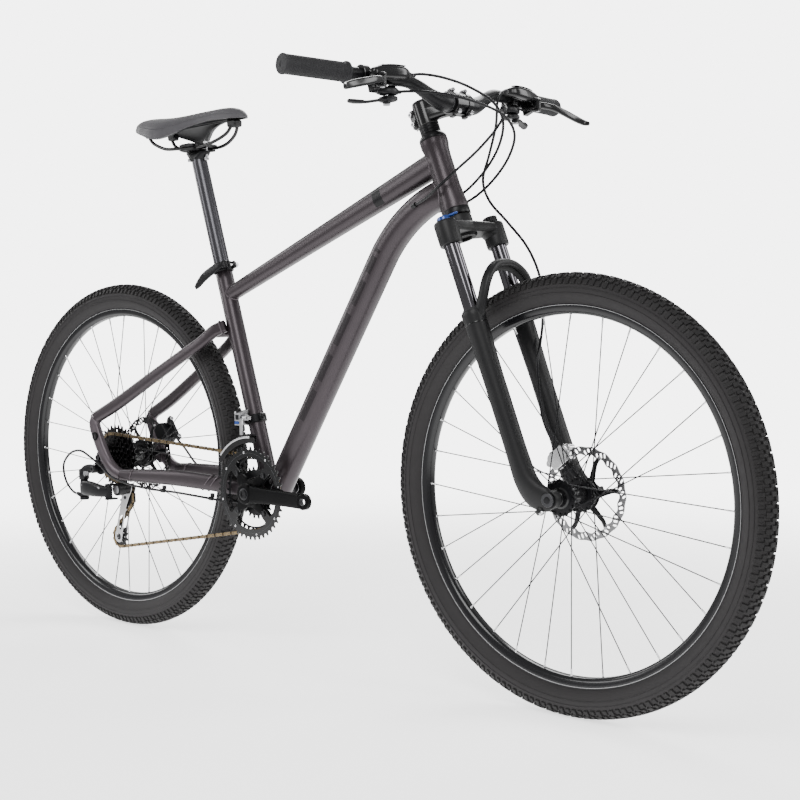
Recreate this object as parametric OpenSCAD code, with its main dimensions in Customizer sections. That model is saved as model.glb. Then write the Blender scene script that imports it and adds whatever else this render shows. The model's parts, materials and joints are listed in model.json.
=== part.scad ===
// Hardtail mountain bike. Millimetres. X forward, Y to the rider's left, Z up.
// The origin is on the ground, half way between the two axles.

/* [Wheels] */
// Distance between the two axles
wheelbase = 1168; // [1166:1:1170]
// Outer radius of each tyre over its knobs
wheel_r = 370; // [368:1:372]
// Overall width of each tyre
tyre_w = 56; // [50:1:58]
// Inner radius of the rims
rim_in_r = 301; // [299:1:303]
// Spokes in each wheel
spoke_count = 32; // [24, 32]
// Diameter of both brake rotors
rotor_d = 160; // [158:1:162]

/* [Frame] */
// Height of the bottom bracket
bb_height = 325.5; // [324:0.5:327]
// Bottom bracket position, forward of the wheelbase middle (negative is behind)
bb_x = -133.5; // [-135:0.5:-132]
// Head angle from the ground
head_angle = 68.5; // [68.4:0.1:68.6]
// Seat tube angle from the ground
seat_angle = 73.2; // [73.1:0.1:73.3]
// Diameter of the down tube
down_tube_d = 51; // [48:1:52]
// Diameter of the seat tube
seat_tube_d = 34.9; // [34.5:0.1:35]
// Diameter of the seatpost
seatpost_d = 31.6; // [31.4:0.1:31.6]

/* [Fork] */
// Distance of the front axle ahead of the steering axis
fork_offset = 51; // [50:1:52]
// Spacing between the two fork legs
leg_spacing = 130; // [128:1:132]
// Diameter of the stanchions
stanchion_d = 28; // [28:0.5:28.5]

/* [Drivetrain] */
// Teeth on the outer chainring
big_teeth = 44; // [42, 44]
// Teeth on the middle chainring, which carries the chain
middle_teeth = 36; // [36]
// Teeth on the inner chainring
small_teeth = 24; // [22, 24]
// Length of the crank arms
crank_length = 175; // [170:1:175]

/* [Hidden] */
$fn = 48;

frame_grey = [0.20, 0.18, 0.19];
satin_black = [0.07, 0.07, 0.08];
steel = [0.70, 0.70, 0.72];
dark_steel = [0.25, 0.25, 0.27];
rubber_black = [0.05, 0.05, 0.05];
bronze = [0.55, 0.46, 0.28];

front_axle_at = [wheelbase / 2, 0, wheel_r];
rear_axle_at = [-wheelbase / 2, 0, wheel_r];
bb_at = [bb_x, 0, bb_height];
steer_up = [-cos(head_angle), 0, sin(head_angle)];
steer_ahead = [sin(head_angle), 0, cos(head_angle)];
steer_foot = front_axle_at - fork_offset * steer_ahead;
seat_up = [-cos(seat_angle), 0, sin(seat_angle)];

// Heights along the steering axis, above the foot of the fork offset
head_low = 538;
head_high = 671;
crown_low = 463;
crown_high = 506;
seal_top = 342;
leg_ahead = 18;
leg_side = leg_spacing / 2;
steerer_r = 14.3;
stem_low = 700;
stem_high = 742;
bar_ahead = 72;
bar_up = 706;
bar_at = steer_foot + bar_up * steer_up + bar_ahead * steer_ahead;
bar_clamp_r = 15.9;
bar_grip_r = 11.1;
bar_half = 368;

// Distances along the seat tube from the bottom bracket
seat_tube_length = 470;
collar_low = 452;
post_low = 350;
post_high = 700;
tube_wall = 2;

hub_half_rear = 67.5;
hub_half_front = 50;
axle_r = 5;
run = 0.05;
rotor_y_rear = 52;
rotor_y_front = 39.5;
rotor_half = 0.9;
stay_end_y = 77;

// ---------- Small helpers ----------
function unit(v) = v / norm(v);
function spline(a, b, c, d, t) =
  0.5 * (2 * b + (c - a) * t + (2 * a - 5 * b + 4 * c - d) * t * t + (3 * b - a - 3 * c + d) * t * t * t);
// Smooth curve through the points p, with s steps between neighbours
function curve(p, s) = [
  for (i = [0 : len(p) - 2])
    for (j = [0 : s - 1])
      spline(p[max(i - 1, 0)], p[i], p[i + 1], p[min(i + 2, len(p) - 1)], j / s),
  p[len(p) - 1]];
// Carries the side direction n along the tangents t without twist
function carry(t, n, i = 0) = i == len(t) ? [] :
  let (m = unit(n - (n * t[i]) * t[i])) concat([m], carry(t, m, i + 1));
function xyz(p) = [p[0], p[1], p[2]];

// Closed bar through points [x, y, z, half width, half height]; side is where its width points at the start
module bar(p, side = [0, 1, 0], n = 16) {
  m = len(p);
  t = [for (i = [0 : m - 1]) unit(xyz(p[min(i + 1, m - 1)]) - xyz(p[max(i - 1, 0)]))];
  s = carry(t, side);
  points = [for (i = [0 : m - 1]) for (k = [0 : n - 1])
    xyz(p[i]) + p[i][3] * cos(360 * k / n) * s[i] + p[i][4] * sin(360 * k / n) * cross(t[i], s[i])];
  walls = [for (i = [0 : m - 2]) for (k = [0 : n - 1]) for (half = [0, 1])
    let (a = i * n + k, b = i * n + (k + 1) % n)
    half == 0 ? [a, a + n, b] : [b, a + n, b + n]];
  first_end = [for (k = [0 : n - 1]) k];
  last_end = [for (k = [n - 1 : -1 : 0]) (m - 1) * n + k];
  polyhedron(points, concat([first_end], walls, [last_end]));
}
// Round cable or hose of radius r through the points p
module hose(p, r) bar([for (q = p) [q[0], q[1], q[2], r, r]], side = [0.31, 0.87, 0.39], n = 8);

// Cylinder from a to b
module rod(a, b, r1, r2) {
  d = b - a;
  translate(a)
    rotate([0, acos(d[2] / norm(d)), atan2(d[1], d[0])])
      cylinder(h = norm(d), r1 = r1, r2 = r2);
}
// Cylinder along Y from y0 to y1
module pin_y(y0, y1, r) translate([0, y0, 0]) rotate([-90, 0, 0]) cylinder(h = y1 - y0, r = r);
// Ring along Y
module ring_y(y0, y1, r_in, r_out) difference() {
  pin_y(y0, y1, r_out);
  pin_y(y0 - 1, y1 + 1, r_in);
}
// Ring along Z
module ring_z(z0, z1, r_in, r_out) difference() {
  translate([0, 0, z0]) cylinder(h = z1 - z0, r = r_out);
  translate([0, 0, z0 - 1]) cylinder(h = z1 - z0 + 2, r = r_in);
}
// Revolves a section given as [radius, y] points about the Y axis
module turn_y(section) rotate([-90, 0, 0]) rotate_extrude($fn = 96) polygon(section);
// Flat plate in the XZ plane between y0 and y1
module plate_y(y0, y1) translate([0, y1, 0]) rotate([90, 0, 0]) linear_extrude(y1 - y0) children();
// Local frames: x ahead of the axis, y left, z along the axis
module at_steering() translate(steer_foot) rotate([0, head_angle - 90, 0]) children();
module at_seat_tube() translate(bb_at) rotate([0, seat_angle - 90, 0]) children();
module both_sides() {
  children();
  mirror([0, 1, 0]) children();
}

// ---------- Chain and sprockets ----------
pitch = 12.7;
roller_r = 3.85;
root_half = 2.8;
tip_half = 5.3;
root_drop = 3.95;
tip_rise = 2.8;
pulley_rise = 1.7;
function pitch_r(teeth) = teeth * pitch / (2 * PI);
function turned(r, x, a) = [r * cos(a) + x * sin(a), r * sin(a) - x * cos(a)];
// Toothed outline with a roller seat at angle phase; its teeth rise above the pitch circle
function sprocket(teeth, phase, rise = tip_rise) = [
  for (k = [0 : teeth - 1]) let (a = phase + 360 * k / teeth, b = a + 360 / teeth, r = pitch_r(teeth))
    each [turned(r - root_drop, root_half, a), turned(r - root_drop, -root_half, a),
      turned(r + rise, -tip_half, a), turned(r + rise, tip_half, b)]];

ring_y_big = -57.5;
ring_y_middle = -50;
ring_y_small = -42.5;
chain_rear_y = -38.5;
cog_teeth = 24;
pulley_teeth = 11;
guide_at = [-540, chain_rear_y, 284];
tension_at = [-564.35, chain_rear_y, 198];
cage_pivot = [-530, chain_rear_y, 305];
// Chain stops: centre, pitch radius, turning sense seen from the right (-1 clockwise), y
stops = [
  [[rear_axle_at[0], rear_axle_at[2]], pitch_r(cog_teeth), -1, chain_rear_y],
  [[bb_at[0], bb_at[2]], pitch_r(middle_teeth), -1, ring_y_middle],
  [[tension_at[0], tension_at[2]], pitch_r(pulley_teeth), -1, chain_rear_y],
  [[guide_at[0], guide_at[2]], pitch_r(pulley_teeth), 1, chain_rear_y]];
function heading(i) =
  let (a = stops[i], b = stops[(i + 1) % 4], d = b[0] - a[0], k = b[1] * b[2] - a[1] * a[2])
  atan2(d[1], d[0]) - asin(k / norm(d));
function run_length(i) =
  let (a = stops[i], b = stops[(i + 1) % 4], d = b[0] - a[0]) norm(d) * cos(heading(i) - atan2(d[1], d[0]));
function wrapped(a) = a - 360 * floor(a / 360);
// Angle of chain on stop i, and its length
function wrap_angle(i) = wrapped(stops[i][2] * (heading(i) - heading((i + 3) % 4)));
function wrap_length(i) = wrap_angle(i) * PI / 180 * stops[i][1];
// Distance along the chain at which it leaves stop i; the start is where it leaves the cassette
function leave(i) = i == 0 ? 0 : leave(i - 1) + run_length(i - 1) + wrap_length(i);
chain_length = leave(3) + run_length(3) + wrap_length(0);
link_count = 2 * round(chain_length / pitch / 2);
link = chain_length / link_count;
// Angle of the chain's contact point on stop i when its heading is h
function contact(i, h) = h - 90 * stops[i][2];
// The run and following stop that distance s falls on
function leg_of(s) =
  s < leave(0) + run_length(0) + wrap_length(1) ? 0 : s < leave(2) ? 1 : s < leave(3) ? 2 : 3;
// Length over which the chain stays in line with the teeth as it leaves them
in_line = 36;
function chain_at(s) =
  let (i = leg_of(s), j = (i + 1) % 4, into = s - leave(i), a = stops[i], b = stops[j],
    h = heading(i), u = into / run_length(i),
    aside = min(max((into - in_line) / max(run_length(i) - 2 * in_line, 1), 0), 1),
    p = a[0] + a[1] * [cos(contact(i, h)), sin(contact(i, h))] + min(into, run_length(i)) * [cos(h), sin(h)],
    g = contact(j, h) + b[2] * (into - run_length(i)) / b[1] * 180 / PI)
  u <= 1 ? [p[0], a[3] + (b[3] - a[3]) * aside, p[1]]
    : [b[0][0] + b[1] * cos(g), b[3], b[0][1] + b[1] * sin(g)];
// Angle of a roller on stop i
function roller_phase(i) =
  let (s0 = leave(i) - (i == 0 ? 0 : wrap_length(i)), s1 = ceil(s0 / link) * link, h = heading((i + 3) % 4))
  i == 0 ? contact(0, heading(0)) : contact(i, h) + stops[i][2] * (s1 - s0) / stops[i][1] * 180 / PI;

// ---------- Frame ----------
bend_at = [168, 0, 772];
bend_r = 270;
bend_turn = 38;
down_angle = 57.5;
down_foot = [-121, 0, 318];
top_tube_rear = [-235, 0, 717.4];
top_tube_front = [300, 0, 937.4];

module head_tube() color(frame_grey) at_steering() difference() {
  union() {
    translate([0, 0, head_low]) cylinder(h = head_high - head_low, r = 22);
    translate([0, 0, head_low]) cylinder(h = 12, r = 25);
    translate([0, 0, head_high - 12]) cylinder(h = 12, r = 25);
  }
  translate([0, 0, head_low - 1]) cylinder(h = head_high - head_low + 2, r = 18);
}

module head_tube_room() at_steering() translate([0, 0, head_low - 40]) cylinder(h = 240, r = 22.1);

module top_tube() color(frame_grey) difference() {
  rod(top_tube_rear, top_tube_front, 15, 22.5);
  rod(top_tube_rear, top_tube_front, 15 - tube_wall, 22.5 - tube_wall);
  head_tube_room();
  at_seat_tube() cylinder(h = 600, r = seat_tube_d / 2 + 0.1);
  down_shape(down_tube_d / 2 + 0.1);
}

// The down tube runs straight up from the bottom bracket, then bends towards the head tube
bend_centre = bend_at + bend_r * [sin(down_angle), 0, -cos(down_angle)];
down_line = concat([down_foot], [for (k = [0 : 8]) let (a = down_angle - bend_turn * k / 8)
  bend_centre + bend_r * [-sin(a), 0, cos(a)]]);
module down_shape(r) bar([for (q = down_line) [q[0], q[1], q[2], r, r]], n = 36);

module down_tube() color(frame_grey) difference() {
  down_shape(down_tube_d / 2);
  bore_r = down_tube_d / 2 - tube_wall;
  rod(down_foot, 0.1 * down_foot + 0.9 * bend_at, bore_r, bore_r);
  head_tube_room();
  translate(bb_at) pin_y(-60, 60, 20.6);
  at_seat_tube() cylinder(h = 600, r = seat_tube_d / 2 + 0.1);
}

module seat_tube() color(frame_grey) difference() {
  union() {
    at_seat_tube() cylinder(h = seat_tube_length, r = seat_tube_d / 2);
    translate(bb_at) pin_y(-36.5, 36.5, 20.5);
  }
  at_seat_tube() translate([0, 0, 60]) cylinder(h = 480, r = seatpost_d / 2 + run);
  translate(bb_at) pin_y(-40, 40, 17.1);
}

chain_stay = [[-508, -stay_end_y, 338, 9, 12], [-440, -71, 340, 9.5, 14], [-350, -60, 340.5, 9, 16],
  [-270, -46, 336, 8, 16], [-222, -36, 331, 7.5, 15], [-186, -30, 328, 8, 14], [-140, -26, 326, 9, 13]];
module chain_stays() color(frame_grey) {
  both_sides() difference() {
    bar(curve(chain_stay, 2));
    translate(bb_at) pin_y(-60, 60, 20.6);
  }
  rod([-198, -24, 329], [-198, 24, 329], 8, 8);
}

seat_stay = [[-590, -stay_end_y, 456, 9, 12.5], [-520, -72, 489, 9, 13], [-420, -62, 544, 9, 12.5],
  [-330, -50, 594, 8.5, 12], [-288, -41, 619, 8.5, 12], [-262, -31, 640, 8.5, 12.5], [-236, -17, 652, 8, 13]];
module seat_stays() color(frame_grey) difference() {
  union() {
    both_sides() bar(curve(seat_stay, 2));
    rod([-270, -32, 634], [-270, 32, 634], 7, 7);
  }
  at_seat_tube() cylinder(h = 600, r = seat_tube_d / 2 + 0.1);
}

elbow = [[-590.5, -stay_end_y, 455.5, 9, 12.5], [-597, -stay_end_y, 441, 9, 13.5],
  [-588, -stay_end_y, 418, 9, 14], [-573, -stay_end_y, 390, 9, 13.5], [-553, -stay_end_y, 362, 9, 13.5],
  [-531, -stay_end_y, 345, 9, 13], [-508.5, -stay_end_y, 338, 9, 12]];
module dropouts() color(frame_grey) {
  both_sides() difference() {
    union() {
      bar(curve(elbow, 2));
      translate([rear_axle_at[0], 0, rear_axle_at[2]]) plate_y(-74.5, -67.6) polygon([[-12, -14], [-14, 4],
        [-8, 14], [4, 22], [14, 20], [32, -8], [24, -22], [8, -14]]);
    }
    translate(rear_axle_at) pin_y(-90, -60, axle_r);
    translate(rear_axle_at + [-axle_r, -90, -40]) cube([2 * axle_r, 30, 40]);
  }
  // Derailleur hanger
  translate([rear_axle_at[0], 0, rear_axle_at[2]]) plate_y(-78, -74.6) polygon([[-14, -30], [-14, -8],
    [-6, -6], [6, -14], [14, -12], [22, -20], [12, -34]]);
}

module headset_bearings() color(satin_black) at_steering() {
  ring_z(head_low - 12, head_low - 0.1, steerer_r + run, 25);
  ring_z(head_high + 0.1, head_high + 12, steerer_r + run, 25);
  ring_z(head_low + 2, head_low + 12, steerer_r + run, 17.9);
  ring_z(head_high - 12, head_high - 2, steerer_r + run, 17.9);
}

module bottom_bracket() color(satin_black) translate(bb_at) both_sides() {
  ring_y(14, 36.6, 12 + run, 17);
  ring_y(36.6, 40, 12 + run, 20.5);
}

// Quick-release collar, its ears and its bolt
module seat_clamp() color(satin_black) at_seat_tube() {
  difference() {
    union() {
      ring_z(collar_low, collar_low + 18, seat_tube_d / 2 + 0.05, 21);
      translate([19, 4, collar_low]) cube([11, 6, 16]);
      translate([19, -10, collar_low]) cube([11, 6, 16]);
    }
    translate([15, -4, collar_low - 1]) cube([20, 8, 20]);
    translate([25, 0, collar_low + 8]) pin_y(-30, 30, 2.6);
  }
  translate([25, 0, collar_low + 8]) {
    pin_y(-10.4, 12, 2.5);
    pin_y(10.1, 16, 6);
  }
}

seat_lever = [[26, -22, 460, 3, 4], [14, -26, 459, 3, 6.5], [0, -27, 457, 2, 8.5], [-16, -29, 454, 2, 9],
  [-34, -28, 450, 2, 9], [-54, -25, 444, 2, 7], [-66, -23, 441, 2, 4]];
module seat_clamp_lever() color(dark_steel) at_seat_tube() difference() {
  union() {
    bar(curve(seat_lever, 2));
    translate([25, -18, collar_low + 1]) cylinder(h = 14, r = 7);
  }
  translate([5, -32, 457.5]) cube([14, 30, 6], center = true);
}

// ---------- Brakes ----------
// Caliper over the rotor at height y, square to the radius at angle a; it reaches out by left
module caliper(axle, y, a, from_r, body_half, depth, left) translate(axle) rotate([0, -a, 0]) {
  difference() {
    translate([from_r, y - 14, -body_half]) cube([depth, 14 + left, 2 * body_half]);
    translate([from_r - 1, y - 1.4, -body_half - 1]) cube([rotor_d / 2 - from_r + 4, 2.8, 2 * body_half + 2]);
  }
  // Piston housing
  translate([from_r + 14, 0, 0]) pin_y(y - 15.2, y - 14, 11);
}
rear_caliper_angle = 35;
front_caliper_angle = 128;
module rear_caliper() color(satin_black) {
  caliper(rear_axle_at, rotor_y_rear, rear_caliper_angle, 62, 24, 34, 12);
  translate(rear_axle_at) rotate([0, -rear_caliper_angle, 0]) translate([97, 58, -26]) cube([8, 8, 52]);
}
module front_caliper() color(steel)
  caliper(front_axle_at, rotor_y_front, front_caliper_angle, 60, 24, 32, 7.2);

// Rotor: braking band, slanted spider arms and bolt ring
module rotor(y) color(steel) plate_y(y - rotor_half, y + rotor_half) difference() {
  union() {
    difference() {
      circle(r = rotor_d / 2, $fn = 96);
      circle(r = rotor_d / 2 - 15, $fn = 96);
    }
    circle(r = 27, $fn = 64);
    for (k = [0 : 5]) rotate(60 * k) translate([24, 3]) rotate(14) square([44, 6]);
  }
  circle(r = 17.5);
  for (k = [0 : 5]) rotate(60 * k) translate([22, 0]) circle(r = 2.6);
  for (k = [0 : 23]) rotate(15 * k + 5) translate([rotor_d / 2 - 4 - 3.5 * (k % 3), 0]) circle(r = 2);
}

// ---------- Wheels ----------
tyre_round = wheel_r - 28;
module tyre() color(rubber_black) turn_y(concat(
  [for (a = [-128 : 8 : 128]) [tyre_round + 28 * cos(a), tyre_w / 2 * sin(a)]],
  [[319.5, 14], [318.4, 10.6], [312, 10.6], [312, 8.2], [319, 8.2]],
  [for (a = [120 : -12 : -120]) [tyre_round + 24 * cos(a), (tyre_w / 2 - 4) * sin(a)]],
  [[319, -8.2], [312, -8.2], [312, -10.6], [318.4, -10.6], [319.5, -14]]));

module rim() color(satin_black) turn_y([[rim_in_r, -6], [rim_in_r + 5, -11], [318, -12.6], [318, -10.8],
  [311.5, -10.8], [311.5, -8], [308, -5], [308, 5], [311.5, 8], [311.5, 10.8], [318, 10.8], [318, 12.6],
  [rim_in_r + 5, 11], [rim_in_r, 6]]);

// Spokes cross three others between flange and rim, half of them from each flange
flange_hole_r = 26;
spoke_beside = 3.9;
module spokes(right_y, left_y) color(dark_steel)
  for (i = [0 : spoke_count - 1]) {
    rim_a = 360 / spoke_count * i;
    sense = floor(i / 2) % 2 == 0 ? 1 : -1;
    hub_a = rim_a + sense * 3 * 720 / spoke_count;
    y = i % 2 == 0 ? right_y - sense * spoke_beside : left_y + sense * spoke_beside;
    rim_point = [rim_in_r * cos(rim_a), sign(y) * 3, rim_in_r * sin(rim_a)];
    hub_point = [flange_hole_r * cos(hub_a), y, flange_hole_r * sin(hub_a)];
    along = unit(hub_point - rim_point);
    rod(hub_point, rim_point + 0.3 * along, 1, 1);
    rod(rim_point + 13 * along, rim_point + 0.3 * along, 1.8, 1.8);
  }

front_flange_right = -33;
front_flange_left = 22;
rear_flange_right = -20;
rear_flange_left = 34;
// Hub shell with two flanges and the rotor seat; the axle passes through its bore
module hub(end_right, right, left, end_left, rotor_y, barrel) color(satin_black) difference() {
  turn_y([[axle_r + run, end_right], [13, end_right], [barrel, right - 1.5], [31, right - 1.5],
    [31, right + 1.5], [barrel, right + 1.5], [barrel, left - 1.5], [31, left - 1.5], [31, left + 1.5],
    [barrel, left + 1.5], [barrel, rotor_y - 6], [26, rotor_y - 5], [26, rotor_y - rotor_half],
    [17.4, rotor_y - rotor_half], [17.4, rotor_y + 2.5], [13, end_left], [axle_r + run, end_left]]);
  for (k = [0 : 5])
    rotate([0, 60 * k, 0]) translate([22, 0, 0]) pin_y(rotor_y - 4, rotor_y + 4, 2.4);
}
module front_hub() translate(front_axle_at)
  hub(-46, front_flange_right, front_flange_left, 46, rotor_y_front, 15);
module rear_hub() translate(rear_axle_at)
  hub(-25, rear_flange_right, rear_flange_left, 61, rotor_y_rear, 17);
module front_rotor() translate(front_axle_at) rotor(rotor_y_front);
module rear_rotor() translate(rear_axle_at) rotor(rotor_y_rear);
module front_tyre() translate(front_axle_at) tyre();
module rear_tyre() translate(rear_axle_at) tyre();
module front_rim() translate(front_axle_at) rim();
module rear_rim() translate(rear_axle_at) rim();
module front_spokes() translate(front_axle_at) spokes(front_flange_right, front_flange_left);
module rear_spokes() translate(rear_axle_at) spokes(rear_flange_right, rear_flange_left);

module front_axle() color(steel) translate(front_axle_at) {
  pin_y(-hub_half_front, hub_half_front, axle_r);
  ring_y(-hub_half_front + 0.1, -46.4, axle_r - 0.5, 9);
  ring_y(46.4, hub_half_front - 0.1, axle_r - 0.5, 9);
  pin_y(-71, 75, 4.4);
  pin_y(-72, -66.2, 12);
  pin_y(66.2, front_cam_y - 7, 10);
}
module rear_axle() color(steel) translate(rear_axle_at) {
  pin_y(-72, 72, axle_r - 0.1);
  ring_y(-67.5, -65.2, axle_r - 0.5, 8.5);
  ring_y(61.4, 67.5, axle_r - 0.5, 8.5);
  pin_y(-84, 80, 2.5);
  pin_y(-84, -78.1, 6.4);
  pin_y(74.7, rear_cam_y - 7, 6.4);
}
skewer_blade = [[2, 0, 0, 4, 5], [14, 2, 0, 4, 6], [30, 4, 0, 2.5, 7], [48, 4, 0, 2.5, 7.5],
  [62, 2, 0, 2.5, 6.5], [70, 0, 0, 2, 4]];
skewer_turn = 150;
// Quick-release lever: its cam barrel turns across the skewer
module skewer_lever_at(axle, y) color(steel) translate(axle + [0, y, 0]) rotate([0, skewer_turn, 0]) {
  translate([0, 0, -7]) cylinder(h = 14, r = 6);
  bar(curve(skewer_blade, 2));
}
front_cam_y = 86;
rear_cam_y = 92;
module front_skewer_lever() skewer_lever_at(front_axle_at, front_cam_y);
module rear_skewer_lever() skewer_lever_at(rear_axle_at, rear_cam_y);

// ---------- Cassette and derailleurs ----------
cogs = [32, 28, 24, 21, 18, 15, 13, 11];
cog_pitch = 4.8;
module cassette() color(steel) translate(rear_axle_at) difference() {
  union() {
    for (i = [0 : len(cogs) - 1])
      plate_y(chain_rear_y - (i - 2) * cog_pitch - 0.95, chain_rear_y - (i - 2) * cog_pitch + 0.95)
        polygon(sprocket(cogs[i], i == 2 ? roller_phase(0) : 0));
    pin_y(-64.5, -27, 17);
  }
  pin_y(-70, -20, axle_r + run);
}

hanger_bolt = [-590, 0, 346];
bracket_pivot = [-624, -88, 322];
module derailleur_bracket() color(satin_black) {
  rod([hanger_bolt[0], -92, hanger_bolt[2]], [hanger_bolt[0], -78.1, hanger_bolt[2]], 9, 9);
  bar([[-590, -88, 346, 4, 8], [-608, -88, 345, 4, 9], [-624, -88, 341, 6, 9]]);
  translate([bracket_pivot[0], bracket_pivot[1], 0]) {
    translate([0, 0, 322]) cylinder(h = 22, r = 11);
    translate([0, 0, 281]) cylinder(h = 50, r = 3);
    translate([0, 0, 278]) cylinder(h = 7, r = 10);
  }
}
knuckle_pin = [-540, -88, 300];
module derailleur_link() color(satin_black) difference() {
  union() {
    bar([[-622, -88, 304, 8, 14], [-600, -90, 304, 9, 13], [-575, -90, 302, 9, 13], [-542, -88, 301, 8, 12]]);
    translate([bracket_pivot[0], bracket_pivot[1], 285.3]) cylinder(h = 36.4, r = 8.5);
    translate([knuckle_pin[0], knuckle_pin[1], 288.3]) cylinder(h = 24.4, r = 8);
  }
  translate([bracket_pivot[0], bracket_pivot[1], 270]) cylinder(h = 70, r = 3.05);
  translate([knuckle_pin[0], knuckle_pin[1], 270]) cylinder(h = 70, r = 3.05);
}
module derailleur_knuckle() color(satin_black) difference() {
  union() {
    translate([cage_pivot[0], 0, cage_pivot[2]]) pin_y(-76, -58, 13.5);
    translate([knuckle_pin[0], knuckle_pin[1], 284]) cylinder(h = 33.5, r = 3);
    translate([knuckle_pin[0], knuckle_pin[1], 284]) cylinder(h = 4, r = 8);
    translate([knuckle_pin[0], knuckle_pin[1], 313.5]) cylinder(h = 4, r = 8);
    translate([-546, -86, 284]) cube([12, 12, 4]);
    translate([-546, -86, 313.5]) cube([12, 12, 4]);
  }
  translate([cage_pivot[0], 0, cage_pivot[2]]) pin_y(-70, -50, 5.05);
}
cage_outline = [[-532, 296], [-522, 300], [-518, 310], [-530, 316], [-546, 300], [-554, 284], [-566, 240],
  [-578, 198], [-569, 186], [-557, 188], [-552, 200], [-540, 262], [-529, 284]];
module derailleur_cage() color(steel) {
  plate_y(chain_rear_y - 6.6, chain_rear_y - 5) polygon(cage_outline);
  plate_y(chain_rear_y + 5, chain_rear_y + 6.6) polygon(cage_outline);
  translate([cage_pivot[0], 0, cage_pivot[2]]) pin_y(-69, chain_rear_y - 5, 5);
  translate(guide_at) pin_y(-6, 6, 2.5);
  translate(tension_at) pin_y(-6, 6, 2.5);
}
module pulley(at, phase) color(satin_black) translate(at) difference() {
  union() {
    plate_y(-1, 1) polygon(sprocket(pulley_teeth, phase, pulley_rise));
    pin_y(-4.4, 4.4, 8);
  }
  pin_y(-6, 6, 2.55);
}
module guide_pulley() pulley(guide_at, roller_phase(3));
module tension_pulley() pulley(tension_at, roller_phase(2));

fd_hinge = [-168, -34, 470];
module front_derailleur() color(steel) difference() {
  union() {
    at_seat_tube() ring_z(138, 154, seat_tube_d / 2 + 0.05, 21.5);
    translate([-192, -44, 452]) cube([16, 26, 36]);
    rod([-176, fd_hinge[1], fd_hinge[2]], [-158, fd_hinge[1], fd_hinge[2]], 2.5, 2.5);
  }
  at_seat_tube() cylinder(h = 200, r = seat_tube_d / 2 + 0.05);
}
// Cage plates follow the outer ring's edge
function arc_band(r0, r1, a0, a1, n) = concat([for (i = [0 : n]) r0 * [cos(a0 + (a1 - a0) * i / n),
  sin(a0 + (a1 - a0) * i / n)]], [for (i = [n : -1 : 0]) r1 * [cos(a0 + (a1 - a0) * i / n),
  sin(a0 + (a1 - a0) * i / n)]]);
module front_derailleur_cage() color(steel) difference() {
  union() {
    translate([bb_at[0], 0, bb_at[2]]) {
      plate_y(-58.6, -57.2) polygon(arc_band(97.5, 112, 82, 146, 12));
      plate_y(-43.4, -42) polygon(arc_band(97.5, 118, 88, 146, 12));
      plate_y(-58, -42.5) polygon(arc_band(112, 113.5, 88, 104, 4));
      plate_y(-58, -42.5) polygon(arc_band(110, 112, 141, 146, 2));
    }
    translate([-175.5, -46, 436]) cube([9, 3, 30]);
    rod([-175.5, fd_hinge[1], fd_hinge[2]], [-164, fd_hinge[1], fd_hinge[2]], 6, 6);
    translate([-175.5, -46, 464]) cube([9, 12, 5]);
  }
  rod([-180, fd_hinge[1], fd_hinge[2]], [-150, fd_hinge[1], fd_hinge[2]], 2.55, 2.55);
}

band_half = 4.1;
plate_in = 1.35;
plate_out = 3.2;
// One side of the chain as an endless strip of link plates, between y offsets y0 and y1
module chain_side(y0, y1) {
  n = link_count;
  c = [for (k = [0 : n - 1]) chain_at(k * link)];
  out = [for (k = [0 : n - 1]) let (d = unit(c[(k + 1) % n] - c[(k + n - 1) % n])) [-d[2], 0, d[0]]];
  points = [for (k = [0 : n - 1]) each [c[k] + band_half * out[k] + [0, y0, 0],
    c[k] + band_half * out[k] + [0, y1, 0], c[k] - band_half * out[k] + [0, y1, 0],
    c[k] - band_half * out[k] + [0, y0, 0]]];
  polyhedron(points, [for (k = [0 : n - 1]) for (j = [0 : 3]) for (half = [0, 1])
    let (a = 4 * k + j, b = 4 * k + (j + 1) % 4, m = 4 * n)
    half == 0 ? [a, b, (a + 4) % m] : [b, (b + 4) % m, (a + 4) % m]]);
}
module chain() color(bronze) {
  chain_side(plate_in, plate_out);
  chain_side(-plate_out, -plate_in);
  for (k = [0 : link_count - 1])
    translate(chain_at(k * link)) pin_y(-plate_in, plate_in, roller_r);
}

// ---------- Cranks ----------
crank_arm = [[0, -69, 0, 7, 20], [30, -70, 0, 7, 17], [70, -73, 0, 6.5, 14], [120, -78, 0, 6, 13],
  [160, -83, 0, 6.5, 15], [175, -85, 0, 7, 16]];
module arm() difference() {
  union() {
    bar(curve(crank_arm, 2), n = 20);
    pin_y(-77, -62, 20);
    translate([crank_length, 0, 0]) pin_y(-92, -78, 15);
  }
  translate([crank_length, 0, 0]) pin_y(-100, -70, 7.14);
}
spindle_r = 12;
bcd_big = 52;
bcd_small = 32;
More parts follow.
